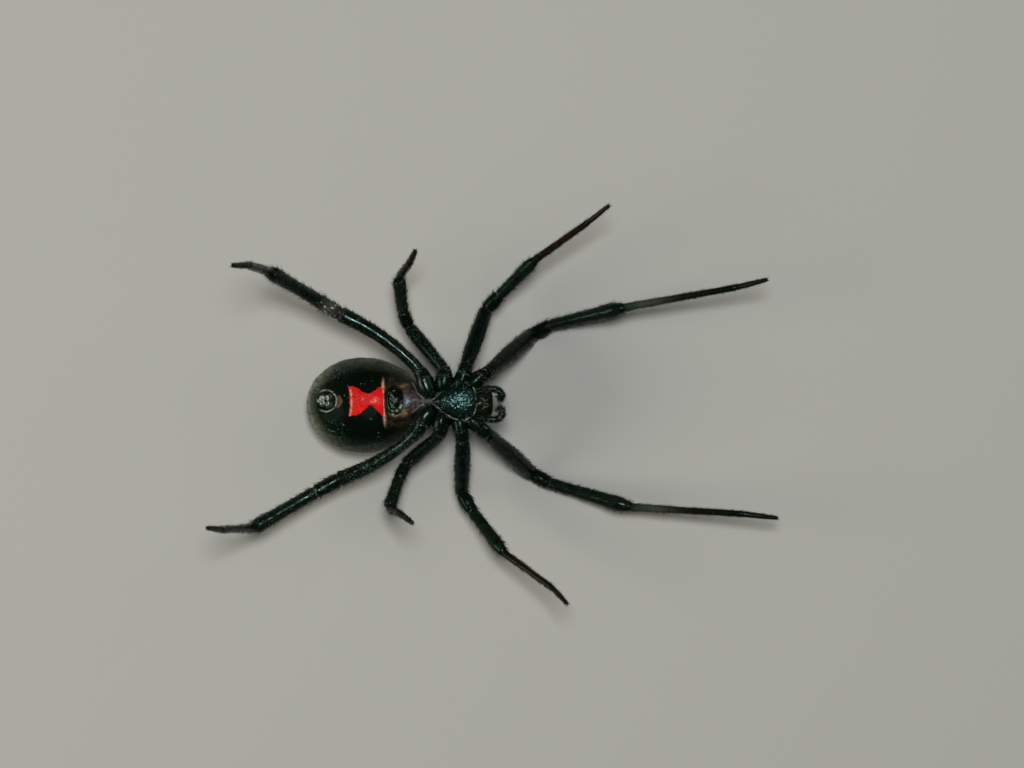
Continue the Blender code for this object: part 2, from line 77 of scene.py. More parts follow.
# The red hourglass: x, its upper edge and its lower edge in y.
HOURGLASS = (
    (-4.74, 0.95, -0.85), (-4.3, 0.88, -0.8), (-4.0, 0.72, -0.68),
    (-3.7, 0.54, -0.43), (-3.45, 0.5, -0.2), (-3.2, 0.64, -0.3),
    (-2.95, 0.84, -0.56), (-2.75, 0.92, -0.76), (-2.62, 0.93, -0.8),
)
# The red is drawn above the first level, and faces are made smaller above the second.
MARK_LEVEL = 3.4
BELLY_LEVEL = 3.6
# Where the mound gets smaller faces: middle and half sizes in x and y.
DETAIL_CENTRE = (-1.65, 0.05)
DETAIL_HALVES = (1.1, 1.3)
# Blots on the belly, each with its x, y and half sizes.
# The glint blots are painted pink highlights on the red mark.
GLINTS = ((-3.07, 0.1, 0.17, 0.16), (-3.86, 0.19, 0.05, 0.13), (-3.3, 0.02, 0.1, 0.08))
# Places of denser pale specks, which are painted glints.
DENSE_GLINT_SPECKS = ((-5.7, -1.86, 0.6, 0.6), (-5.5, 1.8, 0.45, 0.45))
DULL_PATCHES = ((-3.42, -0.62, 0.5, 0.5), (-5.55, -0.8, 0.6, 0.6))
SWELLINGS = ((-1.4, 0.98, 0.26, 0.13), (-1.35, -0.7, 0.2, 0.18))
# A painted bluish highlight on the front of the mound, and its tail towards the waist.
FRONT_HIGHLIGHT = ((-1.22, 0.1, 0.26, 0.3),)
FRONT_HIGHLIGHT_TAIL = ((-0.85, 0.12, 0.3, 0.08),)
# Painted glints: pale spots on small bumps by the epigyne's lower edge.
EPIGYNE_GLINT_PLACES = ((-1.6, -0.33), (-1.53, -0.22), (-1.8, -0.51), (-2.04, -0.76))
EPIGYNE_GLINTS = [(x, y, 0.07, 0.07) for x, y in EPIGYNE_GLINT_PLACES]
DIMPLE_PLACES = ((-3.9, 1.45), (-3.95, -1.6), (-5.2, 1.25), (-5.25, -1.35), (-3.05, 1.55), (-3.1, -1.75))
DIMPLES = [(x, y, 0.09, 0.09) for x, y in DIMPLE_PLACES]
FURROW_X = -2.6
FURROW_ENDS = (1.42, -1.45)
EPIGYNE = (-1.94, 0.15)
EPIGYNE_HALVES = (0.52, 0.82)
EPIGYNE_RIDGES = (
    ((-2.2, 0.54), (-2.02, 0.3), (-1.93, 0.0)),
    ((-2.2, 0.24), (-2.1, 0.06), (-1.95, -0.02), (-2.1, -0.27)),
)
EPIGYNE_CORD = (((-1.5, -0.72), (-1.9, -0.86), (-2.2, -0.72)),)
# Pale edges of the mound that lead to the waist.
WAIST_LINES = (
    ((-0.9, 1.14), (-0.6, 0.54), (-0.24, 0.24), (0.3, 0.06)),
    ((-0.84, -0.6), (-0.45, -0.26), (-0.12, -0.1), (0.3, 0.0)),
)

SPINNERETS_CENTRE = np.array((-6.07, 0.07, 4.6))
SPINNERETS_TILT = -30.0
SEAT_RADIUS = 0.62
SEAT_DEPTH = 0.2
# Each spinneret: turn from the head side in degrees, distance from the middle, radius, height.
SPINNERETS = (
    (50.0, 0.36, 0.2, 0.46), (-50.0, 0.36, 0.2, 0.46), (140.0, 0.34, 0.23, 0.52),
    (-140.0, 0.34, 0.21, 0.5), (180.0, 0.54, 0.12, 0.36), (95.0, 0.24, 0.08, 0.3),
    (-95.0, 0.24, 0.08, 0.3),
)
# Girth of a spinneret, as a share, at places from its root to its tip.
SPINNERET_PROFILE = (
    (0.0, 0.1, 0.5, 0.58, 0.64, 0.72, 0.88, 0.96, 1.0),
    (0.9, 1.0, 1.0, 0.92, 0.84, 0.86, 0.74, 0.54, 0.26),
)
SPINNERET_SIDES = 24
SPINNERET_HAIRS = 60

# Leg links outwards from the body, with the lengths and the pose of the solids.
LINKS = ("coxa", "trochanter", "femur", "patella", "tibia", "metatarsus", "tarsus")
LENGTHS = {
    1: (1.0, 0.6, 6.05, 1.35, 5.35, 6.95, 2.15),
    2: (0.9, 0.6, 4.25, 1.3, 3.6, 4.05, 1.75),
    3: (0.88, 0.5, 3.5, 1.1, 2.15, 2.7, 1.3),
    4: (1.12, 0.65, 5.85, 1.6, 4.35, 4.7, 1.65),
}
LEG_ROOTS = {1: (2.45, 0.9), 2: (1.9, 0.87), 3: (1.18, 0.69), 4: (0.34, 0.4)}
LEG_ROOT_LEVEL = 5.36
# Heading and pitch of each link. Heading 0 is +X, 90 is +Y, and pitch is up to +Z.
POSE = {
    "r1": ((40, -3), (29, -12), (41, -55), (27, 20), (13, 33), (10, 12), (14, 29)),
    "l1": ((-41, -3), (-41, -12), (-43, -54), (-28, 12), (-16, 18), (-3, 16), (-7, 0)),
    "r2": ((69, -3), (74, -12), (71, -35), (47, 18), (44, 35), (35, 16), (38, 27)),
    "l2": ((-80, -3), (-80, -12), (-92, -41), (-59, 14), (-52, 30), (-35, 27), (-46, 47)),
    "r3": ((92, -3), (111, -12), (130, -23), (112, 24), (96, 15), (49, 65), (63, 56)),
    "l3": ((-111, -3), (-99, -22), (-139.5, -37), (-114, 28), (-108, 33), (-21, 71), (-35, 50)),
    "r4": ((115, -3), (123, -12), (145, 0), (148, 20), (149, 44), (164, 77), (-175, 59)),
    "l4": ((-124, -3), (-125, -4), (-149, -20), (-151, 2), (-150, 10), (178, 69), (168, 64)),
}
# How far the middle of a link bows, towards the head and away from the body.
BOWS = {
    1: {},
    2: {},
    3: {"coxa": (-0.2, 0.02)},
    4: {"coxa": (-0.14, 0.0), "femur": (0.25, 0.2)},
}
# Radii at even steps along each link, from the coxa to the tarsus.
SLIM_COXA = (0.36, 0.46, 0.48, 0.48, 0.46)
WIDE_COXA = (0.42, 0.52, 0.55, 0.56, 0.53)
SLIM_TROCHANTER = (0.43, 0.41, 0.39)
WIDE_TROCHANTER = (0.49, 0.43, 0.38)
LEG_RADII = {
    1: (SLIM_COXA, SLIM_TROCHANTER, (0.37, 0.45, 0.52, 0.51, 0.44), (0.38, 0.43, 0.37),
        (0.35, 0.35, 0.38, 0.44, 0.49), (0.25, 0.2, 0.19), (0.175, 0.16, 0.11)),
    2: (SLIM_COXA, SLIM_TROCHANTER, (0.38, 0.46, 0.475, 0.44, 0.39), (0.37, 0.43, 0.35),
        (0.32, 0.34, 0.345, 0.38, 0.42), (0.225, 0.19, 0.175), (0.155, 0.145, 0.1)),
    3: (WIDE_COXA, WIDE_TROCHANTER, (0.35, 0.36, 0.4, 0.41, 0.38), (0.34, 0.37, 0.34),
        (0.36, 0.33, 0.36, 0.38, 0.41), (0.22, 0.2, 0.19), (0.18, 0.17, 0.12)),
    4: (WIDE_COXA, WIDE_TROCHANTER, (0.36, 0.35, 0.39, 0.43, 0.48), (0.43, 0.46, 0.42),
        (0.42, 0.395, 0.4, 0.43, 0.48), (0.27, 0.21, 0.19), (0.18, 0.17, 0.12)),
}
# How brown each pair's feet are, and how densely each leg's femur gets painted glint specks.
BROWN_SHARES = {1: 0.3, 2: 0.9, 3: 0.7, 4: 0.8}
GLINT_SPECK_SHARES = {"l4": 0.75, "r3": 0.6, "l3": 0.12, "r4": 0.12}
PALE_KNEE = "r4"
# Length over which the tibia narrows to its end.
TIBIA_TAPERS = {1: 0.95, 2: 0.7, 3: 0.35, 4: 0.4}
BEND = 0.36
BEND_SAMPLES = 8
JOINT_BLEND = 0.11
LEG_SIDES = 28
# At each joint from the coxa outwards: how far the leg narrows there, as a share, and how widely.
NECKS = ((0.05, 0.035), (0.06, 0.045), (0.16, 0.08), (0.14, 0.08), (0.06, 0.06), (0.1, 0.05))
# Pale rings: number of the joint, how far past it, width, strength.
PALE_RINGS = ((3, 0.03, 0.035, 1.0), (4, 0.03, 0.025, 1.0), (1, -0.04, 0.03, 0.55), (2, -0.04, 0.03, 0.55))
# Length of the bristles on each link, from the coxa to the tarsus.
LEG_HAIR_LENGTHS = np.array((0.14, 0.28, 0.26, 0.34, 0.32, 0.22, 0.16))
LEG_HAIRS_PER_MM = 120

# Carapace, which faces the floor: x, half width, level of the rim, lowest level, top of its inner side.
CARAPACE = (
    (0.2, 0.22, 4.78, 4.66, 4.95), (0.45, 0.78, 4.84, 4.24, 5.2), (0.9, 1.2, 4.9, 3.96, 5.36),
    (1.5, 1.39, 4.92, 3.87, 5.4), (2.0, 1.28, 4.88, 3.9, 5.4), (2.4, 1.02, 4.8, 3.82, 5.36),
    (2.8, 0.82, 4.7, 3.68, 5.28), (3.2, 0.74, 4.6, 3.66, 5.0), (3.5, 0.55, 4.46, 3.82, 4.74),
    (3.68, 0.2, 4.28, 4.06, 4.46),
)
CARAPACE_SIDES = 96
# Grooves of the carapace on each side: start, end, depth, width.
GROOVES = (
    ((1.45, 0.08), (2.5, 0.95), 0.05, 0.07),
    ((1.25, 0.12), (1.95, 1.2), 0.03, 0.08),
    ((1.25, 0.12), (1.35, 1.3), 0.03, 0.08),
    ((1.25, 0.12), (0.8, 1.05), 0.03, 0.08),
)
# Sternum: x, half width, level of the crown.
STERNUM = (
    (0.4, 0.04, 5.6), (0.5, 0.16, 5.67), (0.68, 0.34, 5.74), (1.0, 0.62, 5.82),
    (1.35, 0.86, 5.88), (1.65, 1.0, 5.91), (2.1, 1.07, 5.91), (2.45, 1.03, 5.89),
    (2.65, 0.93, 5.85), (2.8, 0.76, 5.8), (2.88, 0.5, 5.76), (2.92, 0.25, 5.72),
)
# Single long setae on the sternum: root and tip.
SETAE = (
    ((2.2, 1.06), (2.24, 0.55)),
    ((2.34, -1.0), (2.36, -0.62)),
)
STERNUM_Y = 0.03
STERNUM_LEVEL = 5.42
STERNUM_BOXINESS = 0.95
STERNUM_SIDES = 90
RIM_RADIUS = 0.028
RIM_SIDES = 10

# Lip and endites: x, half width, level of the crown.
MOUTH = (
    (2.86, 0.46, 5.46), (2.92, 0.6, 5.54), (3.1, 0.7, 5.62), (3.4, 0.75, 5.66),
    (3.7, 0.74, 5.64), (3.86, 0.68, 5.56), (3.94, 0.52, 5.48), (3.97, 0.36, 5.4),
)
MOUTH_Y = -0.09
MOUTH_LEVEL = 5.3
# Each jaw: share of its length, x, level, radius.
JAW = (
    (0.0, 3.4, 4.3, 0.14), (0.15, 3.5, 4.5, 0.26), (0.5, 3.6, 4.98, 0.31),
    (0.8, 3.65, 5.25, 0.3), (0.94, 3.66, 5.38, 0.25), (1.0, 3.66, 5.45, 0.11),
)
JAW_SPREAD = 0.31
PEDICEL = (
    (-0.5, 0.06, 0.08), (-0.25, 0.13, 0.15), (0.0, 0.135, 0.15),
    (0.35, 0.15, 0.16), (0.8, 0.28, 0.24),
)
PEDICEL_Y = 0.06
PEDICEL_LEVEL = 5.12

EYE_RADIUS = 0.1
EYE_ROWS = ((20.0, (13.0, 36.0)), (44.0, (15.0, 46.0)))
HEAD_CENTRE = np.array((2.85, 0.0, 4.18))
HEAD_HALVES = np.array((0.86, 0.8, 0.55))

# Middle lines of the two feelers, from the root to the tip.
PALP_LINES = {
    "r": (
        (2.95, 0.78, 5.45), (3.25, 0.79, 5.55), (3.6, 0.79, 5.6), (3.93, 0.79, 5.61),
        (4.22, 0.73, 5.6), (4.43, 0.57, 5.57), (4.48, 0.4, 5.53), (4.4, 0.24, 5.5), (4.24, 0.15, 5.48),
    ),
    "l": (
        (2.95, -0.93, 5.45), (3.3, -0.97, 5.55), (3.65, -1.02, 5.6), (4.0, -1.05, 5.61),
        (4.28, -1.0, 5.6), (4.48, -0.84, 5.57), (4.5, -0.64, 5.53), (4.4, -0.45, 5.5), (4.23, -0.33, 5.48),
    ),
}
PALP_JOINTS = (0.17, 0.48, 0.6, 0.74)
# Radius of a feeler at shares of its length.
PALP_RADII = (
    (0.0, 0.12), (0.15, 0.17), (0.4, 0.185), (0.6, 0.2),
    (0.75, 0.215), (0.88, 0.215), (0.96, 0.16), (1.0, 0.05),
)
PALP_SIDES = 24
PALP_HAIRS = 900
PALP_SEEDS = {"r": 51, "l": 52}

# Coats on skins: number of bristles, seed, range of lengths, of radii and of lifts in degrees.
COATS = {
    "coat_abdomen": (6000, 71, (0.1, 0.2), (0.005, 0.008), (15.0, 40.0)),
    "coat_sternum": (700, 91, (0.1, 0.22), (0.005, 0.008), (25.0, 55.0)),
    "coat_margin": (150, 92, (0.1, 0.26), (0.006, 0.01), (10.0, 40.0)),
}
REARWARDS = (-1.0, 0.0, 0.0)
UPWARDS = (0.0, 0.0, 1.0)

# The photo's camera looks straight down on the point that is in the picture's middle.
CAMERA_HEIGHT = 275.0
CAMERA_AIM = (5.1, 1.08)
CAMERA_LENS = 158.2
CAMERA_SENSOR = 36.0
FLOOR_HALF = 3000.0
# Lamps: name, place, width, power, colour.
LAMPS = (
    ("key", (4.0, 42.0, 330.0), 64.0, 0.68, (0.94, 1.0, 1.0)),
    ("left", (-260.0, -30.0, 150.0), 160.0, 0.4, (1.0, 1.0, 0.86)),
    ("right", (240.0, 160.0, 170.0), 160.0, 0.08, (1.0, 0.98, 0.9)),
)


def box_origin():
    """The pedicel's place in the row frame, from the box of the abdomen's solid."""
    low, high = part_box("abdomen")
    rear = np.array((low.x, (low.y + high.y) / 2.0, 0.0))
    return rear - MM * np.array((ABDOMEN_CENTRE[0] - ABDOMEN_REAR, ABDOMEN_CENTRE[1], 0.0))


ORIGIN = box_origin()


def rows_at(rows, places):
    """Smooth curves through the columns of rows, whose first column is the place along them."""
    table = np.array(rows, float)
    stops, values = table[:, 0], table[:, 1:]
    slopes = np.gradient(values, stops, axis=0)
    index = np.clip(np.searchsorted(stops, places) - 1, 0, len(stops) - 2)
    width = (stops[index + 1] - stops[index])[:, None]
    t = np.clip((np.asarray(places) - stops[index])[:, None] / width, 0.0, 1.0)
    return (
        values[index] * (2 * t**3 - 3 * t**2 + 1)
        + slopes[index] * width * (t**3 - 2 * t**2 + t)
        + values[index + 1] * (3 * t**2 - 2 * t**3)
        + slopes[index + 1] * width * (t**3 - t**2)
    )


def curves(rows, count):
    """Even places along the rows' first column, and the smooth curves of the other columns there."""
    places = np.linspace(rows[0][0], rows[-1][0], count)
    return places, *rows_at(rows, places).T


def even_turns(sides):
    """Angles of the points of a ring."""
    return TURN * np.arange(sides) / sides


def smooth_step(low, high, values):
    t = np.clip((values - low) / (high - low), 0.0, 1.0)
    return t * t * (3.0 - 2.0 * t)


def bell(values, width=1.0):
    return np.exp(-((values / width) ** 2))


def share(values):
    """Values kept from 0 to 1."""
    return np.clip(values, 0.0, 1.0)


def unit(vectors):
    return vectors / np.maximum(np.linalg.norm(vectors, axis=-1, keepdims=True), 1e-12)


def ripple(points, size, seed, count=10):
    """Soft irregular relief, mostly between -1 and 1, from crossing waves of about this size."""
    chance = np.random.default_rng(seed)
    directions = unit(chance.normal(size=(count, 3)))
    lengths = size * chance.uniform(0.7, 1.6, count)
    phases = chance.uniform(0.0, TURN, count)
    waves = np.sin(points @ (directions / lengths[:, None]).T * TURN + phases)
    return waves.sum(axis=1) / math.sqrt(count)


def ripples(points, size, seeds):
    """A ripple of its own for each axis."""
    return np.stack([ripple(points, size, seed) for seed in seeds], axis=1)


def line_distance(plane, start, end):
    """Distance of points from a line between two points, in x and y."""
    start, end = np.array(start, float), np.array(end, float)
    along = end - start
    part = share(((plane - start) @ along) / (along @ along))
    return np.linalg.norm(plane - start - part[:, None] * along, axis=1)


def path_distance(plane, paths):
    """Distance of points from the nearest of some paths, each of several lines, in x and y."""
    lines = [line for path in paths for line in zip(path, path[1:])]
    return np.min([line_distance(plane, *line) for line in lines], axis=0)


def oval_distance(plane, x, y, half_x, half_y):
    """Distance of points from the middle of an oval, which is 1 on its edge."""
    return np.hypot((plane[:, 0] - x) / half_x, (plane[:, 1] - y) / half_y)


def blots(plane, rows):
    """Soft blots, which are 1 in their middles. Each has its x, y and half sizes."""
    return np.max([bell(oval_distance(plane, *row)) for row in rows], axis=0)


def facing_out(points, faces):
    """The faces turned so that a closed shape's volume is positive."""
    fans = [(face[0], face[i], face[i + 1]) for face in faces for i in range(1, len(face) - 1)]
    a, b, c = points[np.array(fans)].transpose(1, 0, 2)
    return faces if (a * np.cross(b, c)).sum() > 0 else [tuple(reversed(face)) for face in faces]


def closed_shape(rings, ends):
    """Points and faces of a body of rings that is closed by a point at each end."""
    rows, sides = rings.shape[:2]
    faces = []
    for row in range(rows - 1):
        a, b = row * sides, (row + 1) * sides
        for i in range(sides):
            j = (i + 1) % sides
            faces.append((a + i, a + j, b + j, b + i))
    first, last, end = rows * sides, rows * sides + 1, (rows - 1) * sides
    for i in range(sides):
        j = (i + 1) % sides
        faces += [(first, j, i), (last, end + i, end + j)]
    points = np.vstack([rings.reshape(-1, 3), ends])
    return points, facing_out(points, faces)


def frames_along(centres):
    """Unit directions along a line of points and twice across it, without twist."""
    ahead = unit(np.gradient(centres, axis=0))
    side = np.zeros_like(ahead)
    side[0] = np.cross(UPWARDS, ahead[0])
    if np.linalg.norm(side[0]) < 0.1:
        side[0] = np.cross((0.0, 1.0, 0.0), ahead[0])
    side[0] = unit(side[0])
    for i in range(1, len(centres)):
        side[i] = unit(side[i - 1] - ahead[i] * (side[i - 1] @ ahead[i]))
    return ahead, side, np.cross(ahead, side)


def spokes(across, up, turns):
    """Directions across a line at these turns about it."""
    return across * np.cos(turns)[:, None] + up * np.sin(turns)[:, None]


def tube(centres, radii, sides):
    """A closed round tube with one radius for each ring."""
    across, up = frames_along(centres)[1:]
    ways = spokes(across[:, None], up[:, None], even_turns(sides))
    rings = centres[:, None] + ways * radii[:, None, None]
    return closed_shape(rings, [centres[0], centres[-1]])


def ovals_along_x(xs, y, z, half_width, up_height, down_height, sides, power=1.0, ends=None):
    """A closed body of upright ovals along x, with its own height above and below each middle."""
    columns = (y, z, half_width, up_height, down_height)
    y, z, half, high, low = (np.broadcast_to(column, xs.shape)[:, None] for column in columns)
    cosines, sines = np.cos(even_turns(sides)), np.sin(even_turns(sides))
    wide = np.sign(cosines) * np.abs(cosines) ** power
    tall = np.sign(sines) * np.abs(sines) ** power
    heights = np.where(sines > 0, high, low) * tall
    rings = np.stack(np.broadcast_arrays(xs[:, None], y + half * wide, z + heights), axis=2)
    if ends is None:
        ends = [(xs[i], y[i, 0], z[i, 0]) for i in (0, -1)]
    return closed_shape(rings, ends)


def joined(shapes):
    """Several (points, faces) shapes as one."""
    points, faces, first = [], [], 0
    for some_points, some_faces in shapes:
        points.append(some_points)
        faces += [tuple(first + i for i in face) for face in some_faces]
        first += len(some_points)
    return np.vstack(points), faces


def mesh_of(name, points, faces):
    mesh = bpy.data.meshes.new(name)
    mesh.from_pydata(points.tolist(), [], faces)
    return mesh


def placed(name, data):
    """A new object in the scene."""
    made = bpy.data.objects.new(name, data)
    bpy.context.scene.collection.objects.link(made)
    return made


def riding(name, mesh, finish):
    """A smooth mesh as a piece that rides on the body."""
    mesh.shade_smooth()
    mesh.materials.append(finish)
    made = placed(name, mesh)
    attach(made, BODY)
    return made


def make_piece(name, shape, finish, replaced=(), marks=None):
    """A piece of this shape in millimetres, with float attributes for its finish."""
    points, faces = shape
    mesh = mesh_of(name, points * MM + ORIGIN, faces)
    for label, values in (marks or {}).items():
        layer = mesh.attributes.new(label, "FLOAT", "POINT")
        layer.data.foreach_set("value", np.asarray(values, np.float32))
    made = riding(name, mesh, finish)
    if replaced:
        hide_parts(*replaced)


# A bristle has three points at its root, three halfway and one at its tip.
HAIR_FACES = np.array((
    (0, 2, 1), (0, 1, 4), (0, 4, 3), (1, 2, 5), (1, 5, 4),
    (2, 0, 3), (2, 3, 5), (3, 4, 6), (4, 5, 6), (5, 3, 6),
))
HAIR_POINTS = 7


def hair_points(roots, normals, lie, lengths, radii, lift):
    """Bent bristles of seven points each, which rise at the lift angle and bend over along the lie."""
    lie = unit(lie - normals * (lie * normals).sum(axis=1, keepdims=True))
    lift = np.broadcast_to(np.asarray(lift, float), (len(roots),))[:, None]
    start = normals * np.sin(lift) + lie * np.cos(lift)
    end = normals * np.sin(lift * 0.35) + lie * np.cos(lift * 0.35)
    across = np.cross(lie, normals)
    level = np.cross(start, across)
    lengths, radii = lengths[:, None], radii[:, None]
    points = []
    for part, thin in ((0.0, 1.0), (0.5, 0.72)):
        middle = roots - normals * radii + lengths * (start * part + (end - start) * part**2 / 2.0)
        for turn in (0.0, TURN / 3.0, TURN * 2.0 / 3.0):
            points.append(middle + radii * thin * (across * math.cos(turn) + level * math.sin(turn)))
    points.append(roots + lengths * (start + end) / 2.0)
    return np.stack(points, axis=1)


def make_coat(name, points, places, finish):
    """All bristles of one coat as one mesh, each with a small patch on the bake's map at its root."""
    count = len(points)
    faces = (np.arange(count)[:, None, None] * HAIR_POINTS + HAIR_FACES).reshape(-1, 3)
    mesh = bpy.data.meshes.new(name)
    mesh.vertices.add(count * HAIR_POINTS)
    mesh.vertices.foreach_set("co", (points.reshape(-1, 3) * MM + ORIGIN).astype(np.float32).ravel())
    mesh.loops.add(faces.size)
    mesh.loops.foreach_set("vertex_index", faces.ravel().astype(np.int32))
    mesh.polygons.add(len(faces))
    mesh.polygons.foreach_set("loop_start", np.arange(0, faces.size, 3, dtype=np.int32))
    mesh.update(calc_edges=True)
    turns = even_turns(HAIR_POINTS)
    spread = np.stack([np.cos(turns), np.sin(turns)], axis=1) * PATCH / 2.0
    spots = np.clip(places, PATCH, 1.0 - PATCH)[:, None] + spread
    layer = mesh.uv_layers.new(name=UV_NAME)
    layer.data.foreach_set("uv", spots.reshape(-1, 2)[faces.ravel()].astype(np.float32).ravel())
    riding(name, mesh, finish)


class Finish:
    """A Principled material whose nodes are added by short calls. Sizes are in millimetres."""

    def __init__(self, name, roughness):
        self.material = bpy.data.materials.new(name)
        self.material.use_nodes = True
        self.tree = self.material.node_tree
        self.shader = self.tree.nodes["Principled BSDF"]
        self.set("Roughness", roughness)
        self.place = self.tree.nodes.new("ShaderNodeTexCoord").outputs["Object"]

    def set(self, label, value):
        self.shader.inputs[label].default_value = value

    def link(self, source, target):
        self.tree.links.new(source, target)

    def texture(self, kind, size, output):
        node = self.tree.nodes.new("ShaderNodeTex" + kind)
        node.inputs["Scale"].default_value = 1.0 / (size * MM)
        self.link(self.place, node.inputs["Vector"])
        return node, node.outputs[output]

    def noise(self, size, detail=3.0, roughness=0.5):
        """Noise with features of about this size."""
        node, value = self.texture("Noise", size, "Fac")
        node.inputs["Detail"].default_value = detail
        node.inputs["Roughness"].default_value = roughness
        return value

    def cells(self, size):
        """Distance from the middles of irregular cells of about this size."""
        return self.texture("Voronoi", size, "Distance")[1]

    def between(self, value, low, high, to_low=0.0, to_high=1.0):
        """Value from low to high as a smooth share from to_low to to_high."""
        node = self.tree.nodes.new("ShaderNodeMapRange")
        node.interpolation_type = "SMOOTHSTEP"
        limits = {"From Min": low, "From Max": high, "To Min": to_low, "To Max": to_high}
        for label, number in limits.items():
            node.inputs[label].default_value = number
        self.link(value, node.inputs["Value"])
        return node.outputs["Result"]

    def patches(self, size, low, high, detail=3.0, roughness=0.5):
        """Soft patches where noise of this size is above the middle of low and high."""
        return self.between(self.noise(size, detail, roughness), low, high)

    def specks(self, size, radius, bare=0.56):
        """Small spots in some of the cells of this size, with a radius as a share of the size."""
        here = self.patches(size * 1.4, bare, bare + 0.04, 1.0)
        return self.times(self.between(self.cells(size), radius, radius * 0.6), here)

    def mark(self, name):
        """The values that make_piece wrote on the mesh under this name."""
        node = self.tree.nodes.new("ShaderNodeAttribute")
        node.attribute_name = name
        return node.outputs["Fac"]

    def math(self, operation, first, second):
        node = self.tree.nodes.new("ShaderNodeMath")
        node.operation = operation
        self.link(first, node.inputs[0])
        self.link(second, node.inputs[1])
        return node.outputs[0]

    def times(self, first, second):
        return self.math("MULTIPLY", first, second)

    def plus(self, first, second):
        return self.math("ADD", first, second)

    def mix(self, part, first, second):
        """A colour, from the first where part is 0 to the second where it is 1."""
        node = self.tree.nodes.new("ShaderNodeMix")
        node.data_type = "RGBA"
        self.link(part, node.inputs["Factor"])
        for value, socket in ((first, node.inputs["A"]), (second, node.inputs["B"])):
            if isinstance(value, tuple):
                socket.default_value = (*value, 1.0)
            else:
                self.link(value, socket)
        return node.outputs["Result"]

    def colour(self, value):
        self.link(value, self.shader.inputs["Base Color"])

    def roughness(self, value):
        self.link(value, self.shader.inputs["Roughness"])

    def bump(self, height, distance):
        """Relief of this height on top of what is there."""
        node = self.tree.nodes.new("ShaderNodeBump")
        node.inputs["Distance"].default_value = distance * MM
        node.inputs["Strength"].default_value = 1.0
        self.link(height, node.inputs["Height"])
        normal = self.shader.inputs["Normal"]
        if normal.links:
            self.link(normal.links[0].from_socket, node.inputs["Normal"])
        self.link(node.outputs["Normal"], normal)


# Colours, as linear red, green and blue, and the gloss of each surface.
BLACK = (0.0009, 0.0028, 0.0012)
BLACK_SOFT = (0.0022, 0.006, 0.003)
SHEEN_TINT = (0.66, 1.0, 0.86)
LEG_TINT = (0.64, 1.0, 0.88)
STERNUM_TINT = (0.52, 0.96, 0.96)
MOUTH_TINT = (0.88, 0.96, 0.8)
GLOSS = 0.2
LEG_GLOSS = {1: 0.12, 2: 0.13, 3: 0.13, 4: 0.25}
ABDOMEN_GLOSS = 0.1
STERNUM_GLOSS = 0.5
MOUTH_GLOSS = 0.3
FLOOR_GLOSS = 0.15
SPECK_GLINT = (0.2, 0.3, 0.24)
TEAL = (0.002, 0.012, 0.01)
JOINT_BROWN = (0.005, 0.004, 0.0025)
RING_PALE = (0.17, 0.19, 0.15)
FOOT_BROWN = (0.024, 0.0065, 0.003)
FOOT_GREY = (0.055, 0.065, 0.045)
LEG_GREEN = (0.009, 0.016, 0.01)
KNEE_GREY = (0.055, 0.055, 0.04)
KNEE_PALE = (0.5, 0.43, 0.4)
RED = (0.72, 0.001, 0.005)
RED_DARK = (0.2, 0.0, 0.002)
ORANGE = (0.72, 0.1, 0.02)
PINK_GLINT = (0.85, 0.3, 0.25)
PEACH = (0.68, 0.4, 0.26)
PEACH_DARK = (0.26, 0.11, 0.06)
MAROON = (0.05, 0.022, 0.018)
OLIVE = (0.035, 0.028, 0.016)
RIM_SHEEN_OLIVE = (0.22, 0.24, 0.16)
MAUVE = (0.085, 0.07, 0.08)
TAN = (0.32, 0.17, 0.09)
HIGHLIGHT_BLUE = (0.2, 0.23, 0.29)
PALE_MEMBRANE_AND_GLINT = (0.42, 0.43, 0.37)
SPINNERET_RIM_GLINT = (0.55, 0.58, 0.52)
WAIST_GREY = (0.1, 0.105, 0.085)
RIM_GREY = (0.42, 0.46, 0.4)
MOUTH_BROWN = (0.008, 0.007, 0.004)
FANG_RED = (0.09, 0.022, 0.01)
CLAW_BROWN = (0.03, 0.012, 0.006)
EYE_DARK = (0.008, 0.005, 0.003)
EYE_BROWN = (0.03, 0.014, 0.005)
HAIR_GLINT_GREEN = (0.26, 0.31, 0.26)
HAIR_GREY = (0.12, 0.12, 0.1)
HAIR_PALE = (0.4, 0.42, 0.38)
FLOOR_COLOUR = (0.46, 0.44, 0.41)
SKY = (0.86, 0.95, 1.0)
SKY_STRENGTH = 0.03


def cuticle(name, roughness, grain=0.09, grain_height=0.004, gloss=GLOSS, tint=SHEEN_TINT):
    """Glossy black cuticle with a fine grain, whose gloss has a green cast."""
    made = Finish(name, roughness)
    made.set("Specular Tint", (*tint, 1.0))
    made.set("Specular IOR Level", gloss)
    tone = made.mix(made.noise(0.6, 4.0), BLACK, BLACK_SOFT)
    made.roughness(made.between(made.noise(0.35), 0.3, 0.7, roughness * 0.75, roughness * 1.35))
    made.bump(made.noise(grain, 3.0, 0.6), grain_height)
    return made, tone


def leg_finish(name, gloss):
    """Cuticle that is smooth on the coxae, and rough with painted glint specks further out."""
    made, tone = cuticle(name, 0.22, 0.3, 0.004, gloss, LEG_TINT)
    rough = made.mark("rough")
    made.bump(made.times(made.noise(0.11, 3.0, 0.6), rough), 0.014)
    made.bump(made.times(made.cells(0.075), rough), 0.006)
    tone = made.mix(made.times(made.mark("green"), made.patches(0.5, 0.3, 0.6)), tone, LEG_GREEN)
    knee = made.mix(made.patches(0.3, 0.56, 0.66, 4.0), KNEE_GREY, KNEE_PALE)
    layers = (("brown", FOOT_BROWN), ("grey", FOOT_GREY), ("joint", JOINT_BROWN), ("knee", knee))
    for label, colour in (*layers, ("ring", RING_PALE)):
        tone = made.mix(made.mark(label), tone, colour)
    # Pale specks on the rough parts, and denser ones on some femora, are painted glints.
    tone = made.mix(made.times(made.specks(0.13, 0.3), rough), tone, SPECK_GLINT)
    made.colour(made.mix(made.times(made.specks(0.1, 0.3, 0.47), made.mark("glint_speckled")), tone, SPECK_GLINT))
    return made.material


